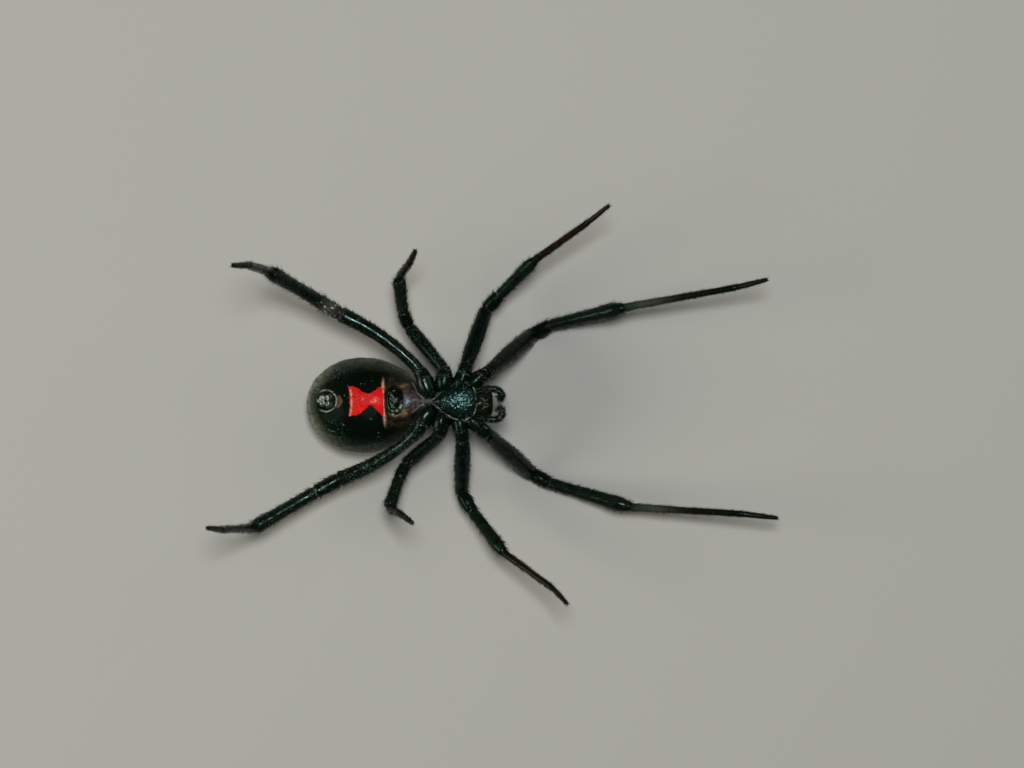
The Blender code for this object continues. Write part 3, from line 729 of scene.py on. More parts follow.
def hourglass_colours(made):
    """The red mark's colours, and how far a point is in the mark."""
    wavy = made.plus(made.mark("red"), made.between(made.noise(0.16, 4.0, 0.6), 0.2, 0.8, -0.07, 0.07))
    leftwards = made.between(made.mark("orange"), -0.1, 0.02)
    tone = made.mix(made.times(made.patches(0.13, 0.5, 0.64, 4.0, 0.7), leftwards), RED, RED_DARK)
    grainy = made.plus(made.noise(0.075, 4.0, 0.7), made.mark("orange"))
    tone = made.mix(made.between(grainy, 0.58, 0.82), tone, ORANGE)
    # Painted pink highlights: a line along the rear edge, the glint blots and fine specks.
    tone = made.mix(made.times(made.mark("rear_edge_glint"), made.patches(0.14, 0.34, 0.56)), tone, PINK_GLINT)
    tone = made.mix(made.times(made.mark("glint"), made.patches(0.07, 0.4, 0.6)), tone, PINK_GLINT)
    tone = made.mix(made.specks(0.16, 0.2, 0.6), tone, PINK_GLINT)
    return tone, made.between(wavy, -0.025, 0.03)


def abdomen_finish():
    made, tone = cuticle("abdomen_cuticle", 0.2, 0.12, 0.006, ABDOMEN_GLOSS)
    # Painted sheen: olive-grey on the abdomen's shoulders, strongest at the rear, standing in for light on
    # its rim.
    mottled = made.between(made.noise(0.35, 5.0, 0.6), 0.25, 0.75, 0.3, 1.0)
    tone = made.mix(made.times(made.mark("rim_sheen"), mottled), tone, RIM_SHEEN_OLIVE)
    # Sparse pale specks, and denser ones at the speckled places, are painted glints.
    sparse_glints = made.times(made.specks(0.24, 0.2, 0.53), made.patches(1.5, 0.46, 0.64, 2.0))
    tone = made.mix(sparse_glints, tone, SPECK_GLINT)
    tone = made.mix(made.times(made.specks(0.11, 0.34, 0.5), made.mark("glint_speckled")), tone, SPECK_GLINT)
    olive = made.mix(made.patches(0.3, 0.4, 0.62, 5.0, 0.6), OLIVE, BLACK_SOFT)
    tone = made.mix(made.mark("olive"), tone, olive)
    reddish = made.mix(made.patches(0.25, 0.42, 0.58, 4.0), MAUVE, MAROON)
    tone = made.mix(made.mark("mauve"), tone, reddish)
    # Painted bluish highlight on the front of the mound.
    tone = made.mix(made.times(made.mark("front_highlight"), made.patches(0.12, 0.3, 0.6)), tone, HIGHLIGHT_BLUE)
    # The pale colour is partly membrane and partly painted highlight.
    for label, colour in (("plate", BLACK), ("pale", PALE_MEMBRANE_AND_GLINT), ("tan", TAN)):
        tone = made.mix(made.mark(label), tone, colour)
    red_tone, red = hourglass_colours(made)
    tone = made.mix(red, tone, red_tone)
    peach = made.mix(made.patches(0.14, 0.42, 0.62, 4.0, 0.6), PEACH, PEACH_DARK)
    made.colour(made.mix(made.mark("furrow"), tone, peach))
    dullness = made.between(made.noise(0.35), 0.3, 0.7, 0.15, 0.27)
    for value, added in ((red, 0.3), (made.mark("dull"), 0.4), (made.mark("plate"), -0.08)):
        dullness = made.plus(dullness, made.between(value, 0.0, 1.0, 0.0, added))
    made.roughness(dullness)
    made.bump(made.times(made.noise(0.1), red), 0.02)
    return made.material


def sternum_finish():
    made, tone = cuticle("sternum_cuticle", 0.22, 0.18, 0.021, STERNUM_GLOSS, STERNUM_TINT)
    made.bump(made.cells(0.13), 0.02)
    made.colour(made.mix(made.patches(0.3, 0.35, 0.65, 4.0), tone, TEAL))
    return made.material


def plain_cuticle(name, roughness, extra=None, mark=None, gloss=GLOSS, tint=SHEEN_TINT):
    """Cuticle with a second colour, in the share of a mark or else in patches."""
    made, tone = cuticle(name, roughness, 0.08, 0.005, gloss, tint)
    if extra:
        part = made.mark(mark) if mark else made.patches(0.4, 0.4, 0.7)
        tone = made.mix(part, tone, extra)
    made.colour(tone)
    return made.material


def hair_finish(name, dark, pale):
    made = Finish(name, 0.38)
    made.set("Specular IOR Level", GLOSS)
    made.colour(made.mix(made.patches(0.12, 0.6, 0.66, 2.0), dark, pale))
    return made.material


def egg_shape():
    """The abdomen without its mound, as rings along x."""
    x, y, z = ABDOMEN_CENTRE
    slant = np.linspace(0.0, math.pi, ABDOMEN_RINGS + 2)[1:-1]
    along, thick = -np.cos(slant), np.sin(slant)
    xs = x + along * np.where(along > 0.0, ABDOMEN_FRONT, ABDOMEN_REAR)
    zs = z + ABDOMEN_FRONT_RISE * np.maximum(along, 0.0) ** 2
    deep = ABDOMEN_HALF_DEPTH * thick
    ends = [(x - ABDOMEN_REAR, y, z), (x + ABDOMEN_FRONT, y, z + ABDOMEN_FRONT_RISE)]
    return ovals_along_x(xs, y, zs, ABDOMEN_HALF_WIDTH * thick, deep, deep, ABDOMEN_SIDES, ends=ends)


def mound_shape():
    xs, ys, zs, widths, depths = curves(MOUND, 50)
    return ovals_along_x(xs, ys, zs, widths, depths, depths, 48)


def fused(shapes, voxel, fine):
    """Closed shapes fused into one skin of small even faces, with smaller ones where fine says so."""
    mesh = mesh_of("draft", *joined(shapes))
    draft = placed("draft", mesh)
    remesh = draft.modifiers.new("skin", "REMESH")
    remesh.mode = "VOXEL"
    remesh.voxel_size = voxel
    skin = bmesh.new()
    skin.from_object(draft, bpy.context.evaluated_depsgraph_get())
    chosen = fine(np.array([vertex.co[:] for vertex in skin.verts]))
    cut = [edge for edge in skin.edges if all(chosen[vertex.index] for vertex in edge.verts)]
    bmesh.ops.subdivide_edges(skin, edges=cut, cuts=1, use_grid_fill=True)
    skin.verts.index_update()
    points = np.array([vertex.co[:] for vertex in skin.verts])
    faces = [tuple(vertex.index for vertex in face.verts) for face in skin.faces]
    edges = np.array([[vertex.index for vertex in edge.verts] for edge in skin.edges])
    skin.free()
    bpy.data.objects.remove(draft, do_unlink=True)
    bpy.data.meshes.remove(mesh)
    return points, facing_out(points, faces), edges


def relaxed(points, edges, rounds):
    """Points drawn towards the middle of their neighbours and back, which keeps the volume."""
    count = np.bincount(edges.ravel(), minlength=len(points))[:, None]
    for turn in range(rounds):
        total = np.zeros_like(points)
        for axis in range(3):
            total[:, axis] = np.bincount(edges[:, 0], points[edges[:, 1], axis], len(points))
            total[:, axis] += np.bincount(edges[:, 1], points[edges[:, 0], axis], len(points))
        push = 0.55 if turn % 2 == 0 else -0.5
        points = points + push * (total / count - points)
    return points


def point_normals(points, faces):
    mesh = mesh_of("draft", points, faces)
    normals = np.empty(len(points) * 3, np.float32)
    mesh.vertex_normals.foreach_get("vector", normals)
    bpy.data.meshes.remove(mesh)
    return normals.reshape(-1, 3).astype(float)


def hourglass_rear(plane):
    """How far in front of the red mark's hollow rear edge each point is."""
    hollow = 0.12 * (1.0 - ((plane[:, 1] - 0.04) / 0.93) ** 2)
    return plane[:, 0] - HOURGLASS[0][0] - hollow


def hourglass_inside(points):
    """How far inside the red mark's edge each point is."""
    x, y, z = points.T
    rear, front = HOURGLASS[0][0], HOURGLASS[-1][0]
    upper, lower = rows_at(HOURGLASS, np.clip(x, rear, front)).T
    inside = np.min([upper - y, y - lower, hourglass_rear(points), front - x], axis=0)
    return np.where(z > MARK_LEVEL, inside, -1.0)


def spinneret_axes():
    """The direction out of the belly at the spinnerets, and the one towards the head across it."""
    tilt = math.radians(SPINNERETS_TILT)
    outward = np.array((math.sin(tilt), 0.0, math.cos(tilt)))
    return outward, np.array((math.cos(tilt), 0.0, -math.sin(tilt)))


def needs_detail(points):
    """Whether points lie on the epigastric mound or round the spinnerets, where the relief is fine."""
    mound = (np.abs(points[:, :2] - DETAIL_CENTRE) < DETAIL_HALVES).all(axis=1)
    seat = np.linalg.norm(points[:, :2] - SPINNERETS_CENTRE[:2], axis=1) < SEAT_RADIUS + 0.4
    return (mound | seat) & (points[:, 2] > BELLY_LEVEL)


def furrow_relief(x, y):
    """Height of the furrow's lip and of the groove beside it, and the share of the lip."""
    span = smooth_step(FURROW_ENDS[0] + 0.2, FURROW_ENDS[0] - 0.5, y)
    span *= smooth_step(FURROW_ENDS[1] - 0.2, FURROW_ENDS[1] + 0.5, y)
    across = x - (FURROW_X + 0.02 - 0.045 * y)
    wider = smooth_step(0.5, 0.95, np.abs(y - 0.02)) * smooth_step(1.7, 1.2, np.abs(y))
    wide = 0.026 + 0.05 * wider
    lip = bell(across, wide) * span
    return 0.07 * lip - 0.08 * bell(across - wide - 0.07, 0.06) * span, lip


def epigyne_relief(plane):
    """Height of the plate with its pit, rim and ridges, and the shares of plate and ridges."""
    oval = oval_distance(plane, *EPIGYNE, *EPIGYNE_HALVES)
    plate = smooth_step(1.08, 0.96, oval)
    ridges = bell(path_distance(plane, EPIGYNE_RIDGES), 0.04)
    ridges *= share(0.55 + 0.8 * ripple(np.column_stack([plane, 0.0 * oval]), 0.4, 6)) * plate
    height = 0.015 * bell(oval - 0.98, 0.12) - 0.09 * smooth_step(0.95, 0.5, oval) + 0.07 * ridges
    moat = bell(oval - 1.17, 0.08) * smooth_step(FURROW_X + 0.1, FURROW_X + 0.3, plane[:, 0])
    return height - 0.05 * moat, plate, ridges


def seat_relief(points, near):
    """Height of the spinnerets' seat with its collar, and the shares of the collar's painted highlight and
    of the colulus.
    """
    flat = points[:, :2] - SPINNERETS_CENTRE[:2]
    radial = np.linalg.norm(flat, axis=1)
    headwards = flat[:, 0] / np.maximum(radial, 0.01)
    seat = smooth_step(SEAT_RADIUS, SEAT_RADIUS - 0.14, radial) * near
    collar = bell(radial - SEAT_RADIUS - 0.02, 0.045) * near
    height = 0.08 * collar * (1.0 + 0.3 * ripple(points, 0.3, 5)) - SEAT_DEPTH * seat
    # Painted highlight: the collar is pale on its head side only, where light catches it.
    pale = collar * smooth_step(-0.75, -0.1, headwards)
    pale *= np.clip(0.75 + 0.5 * ripple(points, 0.2, 9), 0.1, 1.0)
    reach = SEAT_RADIUS + 0.34 * share(headwards) ** 2
    colulus = smooth_step(SEAT_RADIUS + 0.04, SEAT_RADIUS + 0.14, radial)
    colulus *= smooth_step(reach + 0.06, reach - 0.06, radial)
    colulus *= smooth_step(0.46, 0.3, np.abs(flat[:, 1] + 0.06))
    return height, pale, colulus


def belly_relief(points, normals):
    """Height of the belly's forms over the plain skin, and the shares of its colours and painted
    highlights.
    """
    plane = points[:, :2]
    x, y = plane.T
    level = normals[:, 2]
    belly = smooth_step(0.1, 0.5, level)
    near = smooth_step(3.0, 3.6, points[:, 2])
    behind = smooth_step(FURROW_X + 0.04, FURROW_X + 0.14, x)

    furrow, lip = furrow_relief(x, y)
    epigyne, plate, ridges = epigyne_relief(plane)
    seat, collar_glint, colulus = seat_relief(points, near)
    swellings = blots(plane, SWELLINGS)
    cord = bell(path_distance(plane, EPIGYNE_CORD), 0.06)
    # The pale spots by the epigyne are painted glints on small bumps.
    specks = blots(plane, EPIGYNE_GLINTS)
    lines = bell(path_distance(plane, WAIST_LINES), 0.035)
    forms = furrow + epigyne + 0.07 * swellings + 0.03 * cord + 0.05 * specks + 0.03 * lines
    forms += 0.04 * colulus - 0.03 * blots(plane, DIMPLES)
    height = forms * belly + seat + 0.012 * ripple(points, 1.3, 3) + 0.004 * ripple(points, 0.35, 4)

    front_highlight = np.maximum(blots(plane, FRONT_HIGHLIGHT), 0.8 * blots(plane, FRONT_HIGHLIGHT_TAIL))
    crescent = smooth_step(1.2, 0.85, oval_distance(plane, -1.15, 0.0, 0.4, 0.86)) * (1.0 - plate)
    snout = smooth_step(-1.3, -1.0, x) * smooth_step(0.9, 0.6, np.abs(y) + 0.6 * (x + 1.0))
    around = smooth_step(1.75, 1.2, np.abs(y)) * smooth_step(-0.7, -1.2, x) * behind
    front = smooth_step(-0.35, 0.0, x)
    # Pale is membrane on the waist lines and by the waist, and painted highlight on the epigyne's ridges,
    # its glint spots and the collar.
    pale = (0.45 * lines + 0.4 * front + 0.6 * ridges + specks) * belly + collar_glint
    tan = np.maximum(swellings, 0.6 * cord) * belly
    orange = 0.07 * smooth_step(-3.0, -3.4, x) - 0.12 * smooth_step(-3.25, -2.95, x)
    off_plate = belly * (1.0 - plate)
    # Share of the painted rim sheen, on the sloping sides between belly and equator.
    rim_sheen = smooth_step(0.8, 0.3, level) * smooth_step(-0.2, 0.4, level)
    return height, {
        "red": hourglass_inside(points),
        "orange": orange + 0.025 * smooth_step(0.3, -0.6, y),
        "glint": blots(plane, GLINTS),
        "glint_speckled": blots(plane, DENSE_GLINT_SPECKS) * near,
        "dull": blots(plane, DULL_PATCHES),
        "rim_sheen": (0.3 + 0.7 * smooth_step(-5.3, -6.8, x)) * rim_sheen,
        "plate": plate * belly,
        "rear_edge_glint": 0.9 * bell(hourglass_rear(plane) - 0.1, 0.05),
        "furrow": share(1.3 * lip * belly) * near,
        "olive": around * off_plate,
        "mauve": share(crescent + snout) * off_plate * behind,
        "front_highlight": front_highlight * off_plate,
        "pale": share(pale),
        "tan": share(tan + 0.3 * colulus) * (1.0 - specks),
    }


def make_abdomen(coat_finish):
    """The abdomen with its mound as one skin, and its short fur."""
    points, faces, edges = fused([egg_shape(), mound_shape()], SKIN_VOXEL, needs_detail)
    points = relaxed(points, edges, SKIN_SMOOTHING)
    normals = point_normals(points, faces)
    height, marks = belly_relief(points, normals)
    points = points + normals * height[:, None]
    points[:, 2] = np.maximum(points[:, 2], FLOOR_GAP)
    make_piece("abdomen_skin", (points, faces), abdomen_finish(), ["abdomen"], marks)
    choose = 0.3 + smooth_step(-0.2, 0.6, normals[:, 2])
    choose *= np.where((marks["red"] > 0) | (marks["furrow"] > 0.2), 0.25, 1.0)
    spots = round_spots(points, ABDOMEN_CENTRE)
    coat_on("coat_abdomen", points, normals, choose, REARWARDS, spots, coat_finish)


def make_spinnerets(coat_finish):
    """Two pairs of large spinnerets, a small pair between them, the anal tubercle and their hairs."""
    outward, headwards = spinneret_axes()
    floor_point = SPINNERETS_CENTRE - outward * (SEAT_DEPTH + 0.05)
    chance = np.random.default_rng(81)
    parts = np.linspace(0.0, 1.0, 26)
    profile = np.interp(parts, *SPINNERET_PROFILE)
    rim = np.append(np.repeat(bell(parts - 0.93, 0.06), SPINNERET_SIDES), (0.0, 0.0))
    shapes, hairs, places = [], [], []
    for index, (angle, distance, radius, tall) in enumerate(SPINNERETS):
        turn = math.radians(angle)
        direction = headwards * (math.cos(turn) / math.cos(math.radians(SPINNERETS_TILT)))
        direction = direction + np.array((0.0, math.sin(turn), 0.0))
        axis = unit(outward - 0.35 * direction)
        start = floor_point + direction * distance
        shapes.append(tube(start + axis * (parts * tall)[:, None], radius * profile, SPINNERET_SIDES))
        turns = chance.uniform(0.0, TURN, SPINNERET_HAIRS)
        reach = np.sqrt(chance.uniform(0.0, 1.0, SPINNERET_HAIRS))
        across = unit(np.cross(axis, (0.3, 0.9, 0.1)))
        around = spokes(across, np.cross(axis, across), turns)
        off_axis = (reach * radius * 0.62)[:, None]
        roots = start + axis * tall * 0.97 + around * off_axis - axis * (off_axis * 0.5)
        lengths = chance.uniform(0.06, 0.13, SPINNERET_HAIRS)
        radii = chance.uniform(0.006, 0.009, SPINNERET_HAIRS)
        normals = unit(axis + around * 0.5)
        hairs.append(hair_points(roots, normals, around, lengths, radii, math.radians(70.0)))
        places.append(np.stack([(index + reach * 0.9) / len(SPINNERETS), turns / TURN], axis=1))
    points, faces = joined(shapes)
    points += 0.012 * ripples(points, 0.22, (86, 87, 88))
    finish = plain_cuticle("spinneret_cuticle", 0.24, SPINNERET_RIM_GLINT, "tone", STERNUM_GLOSS)
    # Painted highlights: pale rims just below the spinnerets' tips, dark elsewhere.
    rims = np.tile(rim, len(SPINNERETS))
    tone = 0.06 + 0.9 * rims * np.clip(0.8 + 0.6 * ripple(points, 0.25, 85), 0.05, 1.0)
    marks = {"tone": tone}
    make_piece("spinnerets_skin", (points, faces), finish, ["spinnerets"], marks)
    make_coat("coat_spinnerets", np.vstack(hairs), np.vstack(places), coat_finish)


def leg_line(side, pair):
    """Joints of one leg, their distances from its root, and the bows of its links."""
    outwards = 1.0 if side == "r" else -1.0
    x, y = LEG_ROOTS[pair]
    joints = [np.array((x, y * outwards, LEG_ROOT_LEVEL))]
    for (heading, pitch), length in zip(POSE[side + str(pair)], LENGTHS[pair]):
        h, p = math.radians(heading), math.radians(pitch)
        step = np.array((math.cos(p) * math.cos(h), math.cos(p) * math.sin(h), math.sin(p)))
        joints.append(joints[-1] + step * length)
    bows = {}
    for link, (ahead, aside) in BOWS[pair].items():
        bows[LINKS.index(link)] = np.array((ahead, aside * outwards, 0.0))
    return np.array(joints), np.concatenate([[0.0], np.cumsum(LENGTHS[pair])]), bows


def leg_centres(joints, stops, bows, places):
    """Points of the leg's middle line, with its corners rounded and its links bowed."""
    before = 2.0 * joints[0] - joints[1]
    after = 2.0 * joints[-1] - joints[-2]
    line = np.vstack([before, joints, after])
    line_stops = np.concatenate([[-stops[1]], stops, [2.0 * stops[-1] - stops[-2]]])
    around = places[:, None] + BEND * np.linspace(-1.0, 1.0, BEND_SAMPLES + 1)
    columns = [np.interp(around, line_stops, column).mean(axis=1) for column in line.T]
    centres = np.stack(columns, axis=1)
    for link, bow in bows.items():
        part = share((around - stops[link]) / (stops[link + 1] - stops[link]))
        centres += (4.0 * part * (1.0 - part)).mean(axis=1)[:, None] * bow
    return centres


def leg_places(stops):
    """Distances of a leg's rings, close together near its joints."""
    places = [0.0]
    while places[-1] < stops[-1] - 0.02:
        near = np.abs(stops - places[-1]).min()
        places.append(min(places[-1] + 0.02 + 0.06 * min(near / 0.3, 1.0), stops[-1]))
    return np.array(places)


def leg_radius(pair, stops, places):
    """Radius of a leg at each distance, link by link, with a neck at each joint."""
    index = np.clip(np.searchsorted(stops, places) - 1, 0, len(LINKS) - 1)
    part = (places - stops[index]) / (stops[index + 1] - stops[index])
    radius = np.zeros(len(places))
    for link, row in enumerate(LEG_RADII[pair]):
        here = index == link
        radius[here] = np.interp(part[here], np.linspace(0.0, 1.0, len(row)), row)
    tibia_end = stops[LINKS.index("tibia") + 1]
    taper = smooth_step(tibia_end - TIBIA_TAPERS[pair], tibia_end + 0.1, places)
    radius *= np.where(places < tibia_end, 1.0 - 0.42 * taper, 1.0)
    around = places[:, None] + JOINT_BLEND * np.linspace(-1.0, 1.0, BEND_SAMPLES + 1)
    radius = np.interp(around, places, radius).mean(axis=1)
    for stop, (depth, width) in zip(stops[1:-1], NECKS):
        radius *= 1.0 - depth * bell(places - stop, width)
        radius *= 1.0 + 0.05 * bell(places - stop + 2.4 * width, width)
    tip = share((stops[-1] - places) / 0.12)
    return radius * np.sqrt(np.maximum(1.0 - (1.0 - tip) ** 2, 0.03))


def leg_marks(side, pair, stops, places):
    """Shares of the leg's colours and roughness at each of its rings."""
    hip, knee, knee_end, ankle = stops[2:6]
    joint = bell(np.abs(places[:, None] - stops[1:-1]).min(axis=1), 0.045)
    rings = [
        strength * bell(places - stops[number] - past, width)
        for number, past, width, strength in PALE_RINGS
    ]
    foot = [share((places - start) / (end - start)) for start, end in zip(stops[5:7], stops[6:8])]
    thigh = smooth_step(hip - 0.2, hip + 0.2, places) * smooth_step(knee - 0.2, knee - 0.9, places)
    green = smooth_step(knee_end - 0.1, knee_end + 0.3, places) * smooth_step(ankle, ankle - 0.4, places)
    grey = bell(places - ankle - 1.4, 1.3) * smooth_step(ankle, ankle + 0.2, places) * (pair == 1)
    kneecap = bell(places - (knee + knee_end) / 2.0, 0.35 * (knee_end - knee))
    rough = 0.2 + 0.8 * smooth_step(stops[1] - 0.1, stops[1] + 0.1, places)
    rough *= 1.0 - (0.65 if pair > 2 else 0.85) * smooth_step(hip, hip + 1.2, places)
    if pair == 4:
        rough *= 1.0 - bell(places - knee + 0.5, 0.35)
    return {
        "joint": joint,
        "brown": BROWN_SHARES[pair] * sum(share(3.2 * part * (1.0 - part)) for part in foot),
        "rough": rough,
        "ring": np.max(rings, axis=0),
        "knee": kneecap * (side + str(pair) == PALE_KNEE),
        "green": 0.5 * green,
        "grey": 0.8 * grey,
        "glint_speckled": thigh * GLINT_SPECK_SHARES.get(side + str(pair), 0.0),
    }


def on_rings(values, sides):
    """One value for each point of a tube, from one for each ring."""
    return np.concatenate([np.repeat(values, sides), values[:1], values[-1:]])


def make_leg(side, pair, skin_finish, coat_finish):
    """One leg: its skin from the coxa to the tip, and its bristles. Returns its claws."""
    name = "leg_" + side + str(pair)
    seed = pair + (10 if side == "r" else 20)
    joints, stops, bows = leg_line(side, pair)
    places = leg_places(stops)
    centres = leg_centres(joints, stops, bows, places)
    radius = leg_radius(pair, stops, places)
    ahead, across, up = frames_along(centres)
    points, faces = tube(centres, radius, LEG_SIDES)
    middle = np.vstack([np.repeat(centres, LEG_SIDES, 0), centres[:1], centres[-1:]])
    points += (points - middle) * (0.018 * ripple(points, 0.55, seed))[:, None]
    points[:, 2] = np.maximum(points[:, 2], FLOOR_GAP)
    marks = leg_marks(side, pair, stops, places)
    marks = {label: on_rings(values, LEG_SIDES) for label, values in marks.items()}
    marks["ring"] *= 0.8 * share(0.1 + 0.9 * ripple(points, 0.45, seed + 50))
    nodes = [name + "_" + part for part in ("femur", "tibia", "foot")]
    make_piece(name + "_skin", (points, faces), skin_finish, nodes, marks)

    chance = np.random.default_rng(seed)
    count = int(LEG_HAIRS_PER_MM * stops[-1])
    roots_at = chance.uniform(0.35, stops[-1] - 0.03, count)
    row = np.clip(np.searchsorted(places, roots_at) - 1, 0, len(places) - 2)
    part = ((roots_at - places[row]) / (places[row + 1] - places[row]))[:, None]
    turns = chance.uniform(0.0, TURN, count)
    normals = spokes(across[row], up[row], turns)
    girth = radius[row, None] * (1.0 - part) + radius[row + 1, None] * part
    roots = centres[row] * (1.0 - part) + centres[row + 1] * part + normals * girth
    link = np.clip(np.searchsorted(stops, roots_at) - 1, 0, len(LINKS) - 1)
    lengths = LEG_HAIR_LENGTHS[link] * chance.uniform(0.6, 1.35, count)
    lie = ahead[row] + 0.25 * chance.normal(size=(count, 3))
    lift = np.radians(chance.uniform(20.0, 62.0, count))
    hairs = hair_points(roots, normals, lie, lengths, chance.uniform(0.007, 0.013, count), lift)
    keep = hairs[:, :, 2].min(axis=1) > FLOOR_GAP
    spots = np.stack([roots_at / stops[-1], turns / TURN], axis=1)
    make_coat("coat_" + name, hairs[keep], spots[keep], coat_finish)
    return claw_shapes(centres[-1], ahead[-1], across[-1], up[-1])


def thorn(start, direction, curl, length, radius):
    """A curved pointed claw."""
    parts = np.linspace(0.0, 1.0, 9)[:, None]
    line = start + direction * (length * parts) + curl * (length * 0.55 * parts**2)
    return tube(line, radius * (1.0 - 0.9 * parts[:, 0] ** 1.5), 8)


def claw_shapes(tip, ahead, across, up):
    """Two main claws side by side and a small one between them."""
    down = -up if up[2] > 0 else up
    shapes = []
    for sign, size in ((1.0, 1.0), (-1.0, 1.0), (0.0, 0.6)):
        start = tip - ahead * 0.06 + across * (0.045 * sign)
        direction = unit(ahead + across * (0.25 * sign))
        shapes.append(thorn(start, direction, down, 0.19 * size, 0.03 * size))
    return shapes


def make_carapace():
    """The carapace with its grooves, and the soft side between it and the leg bases."""
    xs, half, rim, low, top = curves(CARAPACE, 110)
    points, faces = ovals_along_x(xs, 0.0, rim, half, top - rim, rim - low, CARAPACE_SIDES)
    pinch = 1.0 - 0.14 * smooth_step(0.0, 0.3, np.sin(even_turns(CARAPACE_SIDES)))
    points[:-2, 1] *= np.tile(pinch, len(xs))
    plane = points[:, :2]
    under = smooth_step(4.8, 4.5, points[:, 2])
    relief = 0.12 * bell(line_distance(plane, (1.05, 0.0), (1.4, 0.0)), 0.12)
    for start, end, depth, width in GROOVES:
        for mirror in ((1.0, 1.0), (1.0, -1.0)):
            relief += depth * bell(line_distance(plane * mirror, start, end), width)
    points[:, 2] += relief * under
    points[:, 2] += 0.008 * ripple(points, 0.5, 31) * under
    finish = plain_cuticle("carapace_cuticle", 0.26)
    make_piece("carapace", (points, faces), finish, ["cephalothorax"])


def sternum_rows(xs):
    """Half width, with a scallop over each leg base, and crown of the sternum."""
    half, crown = rows_at(STERNUM, xs).T
    return half * (1.0 - 0.05 * np.abs(np.sin((xs - 0.3) * math.pi / 0.65))), crown


def sternum_outline(xs):
    """Evenly spaced points of the pale cord round the sternum."""
    there, back = xs[::2], xs[::-2]
    xs = np.concatenate([there, back])
    sign = np.concatenate([np.ones(len(there)), -np.ones(len(back))])
    half, crown = sternum_rows(xs)
    level = STERNUM_LEVEL + 0.75 * (crown - STERNUM_LEVEL)
    line = np.stack([xs, STERNUM_Y + sign * (half + 0.04), level], axis=1)
    line[:, 0] += 0.03 * np.sign(xs - 1.6) * (half < 0.35)
    steps = np.concatenate([[0.0], np.cumsum(np.linalg.norm(np.diff(line, axis=0), axis=1))])
    even = np.linspace(0.0, steps[-1], 320)
    line = np.stack([np.interp(even, steps, column) for column in line.T], axis=1)
    return line + 0.012 * ripples(line, 0.25, (43, 44, 45))


def make_sternum(coat_finish, margin_finish):
    """The shield between the legs, the pale cord round it, and the bristles of both."""
    xs = np.linspace(STERNUM[0][0], STERNUM[-1][0], 110)
    half, crown = sternum_rows(xs)
    rise = crown - STERNUM_LEVEL
    points, faces = ovals_along_x(
        xs, STERNUM_Y, STERNUM_LEVEL, half, rise, 0.2, STERNUM_SIDES, STERNUM_BOXINESS
    )
    upper = smooth_step(STERNUM_LEVEL + 0.1, STERNUM_LEVEL + 0.35, points[:, 2])
    points[:, 2] += upper * (0.006 * ripple(points, 0.5, 41) + 0.006 * ripple(points, 0.2, 42))
    make_piece("sternum", (points, faces), sternum_finish())
    rim = sternum_outline(xs)
    cord = tube(rim, RIM_RADIUS * (1.0 + 0.35 * ripple(rim, 0.16, 46)), RIM_SIDES)
    make_piece("sternum_rim", cord, plain_cuticle("pleura", 0.5, RIM_GREY))

    normals = point_normals(points, faces)
    top = (points[:, 2] > STERNUM_LEVEL + 0.12) & (normals[:, 2] > 0.1)
    spots = round_spots(points, (0.0, STERNUM_Y, 5.3))
    coat_on("coat_sternum", points, normals, top * 1.0, REARWARDS, spots, coat_finish)
    outwards = unit((rim - (1.7, STERNUM_Y, rim[:, 2].mean())) * (1.0, 1.0, 0.0))
    normals = unit(outwards * 0.35 + UPWARDS)
    sideways = np.random.default_rng(93).normal(size=(len(rim), 1)) * 0.8
    lie = np.cross(normals, outwards) * sideways + outwards
    spots = np.column_stack([np.linspace(0.1, 0.9, len(rim)), np.full(len(rim), 0.5)])
    coat_on("coat_margin", rim, normals, np.ones(len(rim)), lie, spots, margin_finish)


def make_setae(finish):
    """The single long bristles on the sternum."""
    count = len(SETAE)
    roots = np.array([(*root, STERNUM_LEVEL + 0.44) for root, tip in SETAE])
    ways = np.array([(tip[0] - root[0], tip[1] - root[1], 0.0) for root, tip in SETAE])
    normals = np.tile(UPWARDS, (count, 1))
    lengths = np.linalg.norm(ways, axis=1)
    hairs = hair_points(roots, normals, ways, lengths, np.full(count, 0.016), math.radians(10.0))
    spots = np.column_stack([roots[:, 0] / 4.0, np.full(count, 0.5)])
    make_coat("coat_setae", hairs, spots, finish)


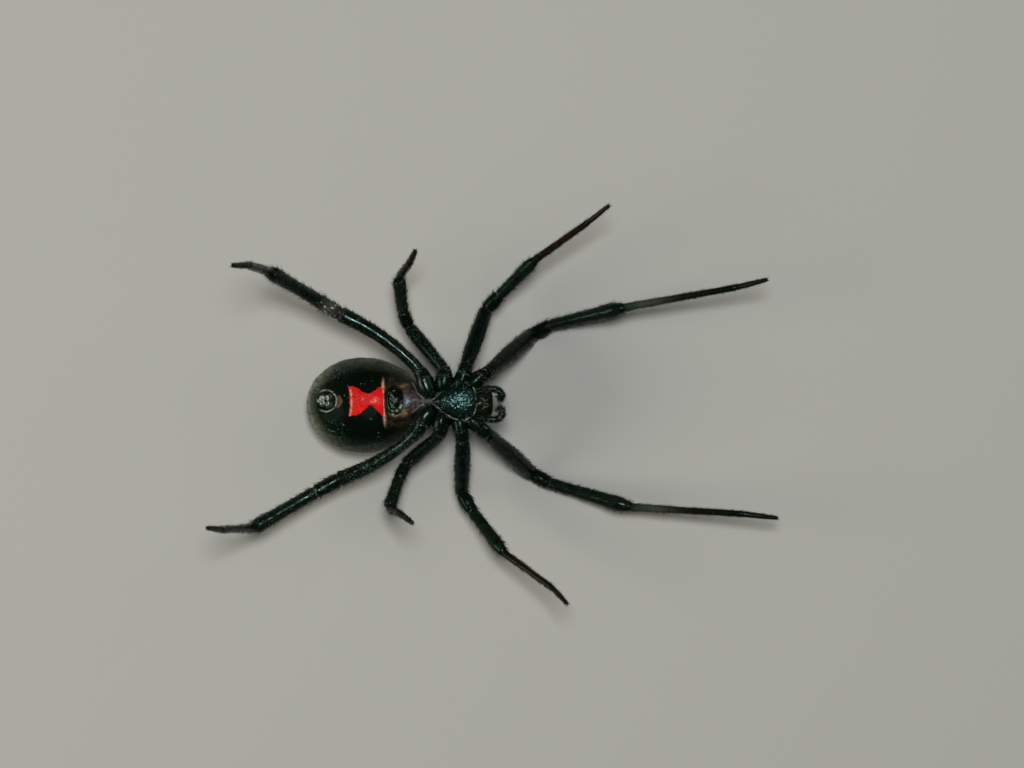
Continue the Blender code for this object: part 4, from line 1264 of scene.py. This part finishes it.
def make_mouth():
    """Lip, endites and jaws with their fangs, which together make one dark block."""
    xs, half, crown = curves(MOUTH, 70)
    points, faces = ovals_along_x(xs, MOUTH_Y, MOUTH_LEVEL, half, crown - MOUTH_LEVEL, 0.3, 90, 0.8)
    mirrored = np.column_stack([points[:, 0], np.abs(points[:, 1] - MOUTH_Y)])
    x, y = mirrored.T
    upper = smooth_step(MOUTH_LEVEL, MOUTH_LEVEL + 0.2, points[:, 2])
    bulge = bell(oval_distance(mirrored, 3.62, 0.2, 0.2, 0.16))
    lip = oval_distance(mirrored, 3.12, 0.0, 0.27, 0.3)
    points[:, 2] += upper * (0.12 * bulge - 0.07 * bell(y, 0.035) * smooth_step(3.3, 3.5, x))
    points[:, 2] += upper * (0.1 * bell(lip, 0.8) - 0.07 * bell(lip - 1.1, 0.12))
    brown = plain_cuticle("mouth_cuticle", 0.26, MOUTH_BROWN, "tone", MOUTH_GLOSS, MOUTH_TINT)
    tone = bell(oval_distance(mirrored, 3.4, 0.0, 0.42, 0.4))
    make_piece("endites", (points, faces), brown, [], {"tone": tone})
    for side, sign in (("r", 1.0), ("l", -1.0)):
        y = MOUTH_Y + sign * JAW_SPREAD
        x, z, radius = rows_at(JAW, np.linspace(0.0, 1.0, 30)).T
        jaw = tube(np.stack([x, np.full(len(x), y), z], axis=1), radius, 32)
        tone = {"tone": np.full(len(jaw[0]), 0.5)}
        make_piece("jaw_" + side, jaw, brown, ["chelicera_" + side], tone)
        down = unit(np.array((0.05, -sign * 0.5, 0.6)))
        fang = thorn(np.array((3.88, y, 5.2)), down, np.array((-0.35, -sign * 0.5, -0.1)), 0.34, 0.06)
        finish = plain_cuticle("fang_" + side, 0.16, FANG_RED)
        make_piece("fang_" + side, fang, finish)


def make_palp(side, finish, coat_finish):
    """One feeler with its links and its bristles. Returns its claw."""
    line = np.array(PALP_LINES[side])
    stops = np.linspace(0.0, 1.0, 110)
    centres = rows_at(np.column_stack([np.linspace(0.0, 1.0, len(line)), line]), stops)
    radius = rows_at(PALP_RADII, stops)[:, 0]
    for place in PALP_JOINTS:
        radius *= 1.0 - 0.12 * bell(stops - place, 0.014)
        radius *= 1.0 + 0.04 * bell(stops - place + 0.04, 0.02)
    joint = bell(np.abs(stops[:, None] - PALP_JOINTS).min(axis=1), 0.012)
    shape = tube(centres, radius, PALP_SIDES)
    marks = {"joint": on_rings(joint, PALP_SIDES), "rough": np.full(len(shape[0]), 1.0)}
    make_piece("feeler_" + side, shape, finish, ["palp_" + side], marks)
    ahead, across, up = frames_along(centres)
    chance = np.random.default_rng(PALP_SEEDS[side])
    row = chance.integers(8, len(stops) - 3, PALP_HAIRS)
    turns = chance.uniform(0.0, TURN, PALP_HAIRS)
    normals = spokes(across[row], up[row], turns)
    roots = centres[row] + normals * radius[row, None]
    roots += ahead[row] * chance.uniform(-0.015, 0.015, (PALP_HAIRS, 1))
    lengths = chance.uniform(0.12, 0.24, PALP_HAIRS) * (1.0 + 0.3 * (row > 80))
    lie = ahead[row] + 0.3 * chance.normal(size=(PALP_HAIRS, 3))
    radii = chance.uniform(0.005, 0.009, PALP_HAIRS)
    hairs = hair_points(roots, normals, lie, lengths, radii, math.radians(38.0))
    spots = np.stack([row / len(stops), turns / TURN], axis=1)
    make_coat("coat_feeler_" + side, hairs, spots, coat_finish)
    return thorn(centres[-1] - ahead[-1] * 0.04, ahead[-1], -up[-1], 0.12, 0.025)


def make_pedicel():
    """The thin waist between the two parts of the body."""
    xs, half, deep = curves(PEDICEL, 50)
    points, faces = ovals_along_x(xs, PEDICEL_Y, PEDICEL_LEVEL, half, deep, deep, 40)
    points[:, 2] += 0.015 * ripple(points, 0.2, 61)
    finish = plain_cuticle("waist_membrane", 0.45, WAIST_GREY, "tone")
    from_middle = np.abs(points[:, 1] - PEDICEL_Y)
    tone = 0.6 + 0.4 * bell(from_middle - np.interp(points[:, 0], xs, half) * 0.7, 0.05)
    make_piece("waist", (points, faces), finish, [], {"tone": tone})


def ball(centre, radius, sides, rings):
    slant = np.linspace(0.0, math.pi, rings + 2)[1:-1]
    x, y, z = centre
    thick = radius * np.sin(slant)
    ends = [(x + radius, y, z), (x - radius, y, z)]
    return ovals_along_x(x + radius * np.cos(slant), y, z, thick, thick, thick, sides, ends=ends)


def make_eyes():
    """Eight eyes in two rows on the front of the head."""
    shapes = []
    for down, turns in EYE_ROWS:
        for turn in turns:
            for sign in (1.0, -1.0):
                a, b = math.radians(down), math.radians(turn) * sign
                across = math.cos(a)
                direction = np.array((across * math.cos(b), across * math.sin(b), -math.sin(a)))
                shapes.append(ball(HEAD_CENTRE + HEAD_HALVES * direction * 0.97, EYE_RADIUS, 20, 12))
    finish = Finish("eye", 0.06)
    finish.set("Coat Weight", 1.0)
    finish.set("Coat Roughness", 0.03)
    finish.colour(finish.mix(finish.patches(0.08, 0.4, 0.7, 2.0), EYE_DARK, EYE_BROWN))
    make_piece("eyes", joined(shapes), finish.material)


def coat_on(name, points, normals, choose, lie, spots, finish):
    """Bristles on points of a skin, drawn with the shares in choose."""
    count, seed, lengths, radii, lifts = COATS[name]
    chance = np.random.default_rng(seed)
    picked = chance.choice(len(points), count, p=choose / choose.sum())
    roots = points[picked] + chance.normal(size=(count, 3)) * 0.01
    lengths = chance.uniform(*lengths, count)
    radii = chance.uniform(*radii, count)
    lie = np.broadcast_to(lie, points.shape)[picked] + 0.3 * chance.normal(size=(count, 3))
    lift = np.radians(chance.uniform(*lifts, count))
    hairs = hair_points(roots, normals[picked], lie, lengths, radii, lift)
    keep = hairs[:, :, 2].min(axis=1) > FLOOR_GAP
    make_coat(name, hairs[keep], spots[picked][keep], finish)


def round_spots(points, centre):
    """An unwrap round the x axis: along it, and the turn about it."""
    along = (points[:, 0] - points[:, 0].min()) / np.ptp(points[:, 0])
    turns = np.arctan2(points[:, 1] - centre[1], points[:, 2] - centre[2])
    return np.stack([along, turns / TURN + 0.5], axis=1)


def make_stage():
    """A plain pale floor, soft lights and the photo's camera."""
    corners = np.array([(-1.0, -1.0, 0.0), (1.0, -1.0, 0.0), (1.0, 1.0, 0.0), (-1.0, 1.0, 0.0)])
    mesh = mesh_of("floor", corners * FLOOR_HALF * MM, [(0, 1, 2, 3)])
    finish = Finish("floor", 0.8)
    finish.set("Base Color", (*FLOOR_COLOUR, 1.0))
    finish.set("Specular IOR Level", FLOOR_GLOSS)
    mesh.materials.append(finish.material)
    placed("floor", mesh)

    world = bpy.data.worlds.new("studio")
    bpy.context.scene.world = world
    world.use_nodes = True
    back = world.node_tree.nodes["Background"]
    back.inputs["Color"].default_value = (*SKY, 1.0)
    back.inputs["Strength"].default_value = SKY_STRENGTH

    for name, place, size, power, colour in LAMPS:
        lamp = bpy.data.lights.new(name, "AREA")
        lamp.shape = "DISK"
        lamp.size = size * MM
        lamp.energy = power
        lamp.color = colour
        holder = placed(name, lamp)
        holder.location = [value * MM for value in place]
        holder.rotation_euler = (-holder.location).to_track_quat("-Z", "Y").to_euler()

    lens = bpy.data.cameras.new("camera")
    lens.lens = CAMERA_LENS
    lens.sensor_width = CAMERA_SENSOR
    lens.clip_start = 0.005
    lens.clip_end = 20.0
    camera = placed("camera", lens)
    camera.location = (*(ORIGIN[:2] + np.array(CAMERA_AIM) * MM), CAMERA_HEIGHT * MM)
    bpy.context.scene.camera = camera
    bpy.context.scene.view_settings.view_transform = "Standard"


def make_spider():
    black_hair = hair_finish("black_bristles", BLACK_SOFT, BLACK_SOFT)
    # Green-grey flecks on the dark bristles of this finish are painted glints.
    glint_flecked_hair = hair_finish("glint_flecked_bristles", BLACK_SOFT, HAIR_GLINT_GREEN)
    pale_hair = hair_finish("pale_bristles", HAIR_GREY, HAIR_PALE)
    leg_skins = {pair: leg_finish("leg_cuticle_" + str(pair), LEG_GLOSS[pair]) for pair in LENGTHS}
    claws = []
    for side in "rl":
        for pair in LENGTHS:
            claws += make_leg(side, pair, leg_skins[pair], glint_flecked_hair if pair > 2 else black_hair)
        claws.append(make_palp(side, leg_skins[4], glint_flecked_hair))
    make_piece("claws", joined(claws), plain_cuticle("claw_horn", 0.3, CLAW_BROWN))
    make_abdomen(black_hair)
    make_spinnerets(pale_hair)
    make_carapace()
    make_pedicel()
    make_sternum(glint_flecked_hair, pale_hair)
    make_setae(pale_hair)
    make_mouth()
    make_eyes()


make_spider()
make_stage()
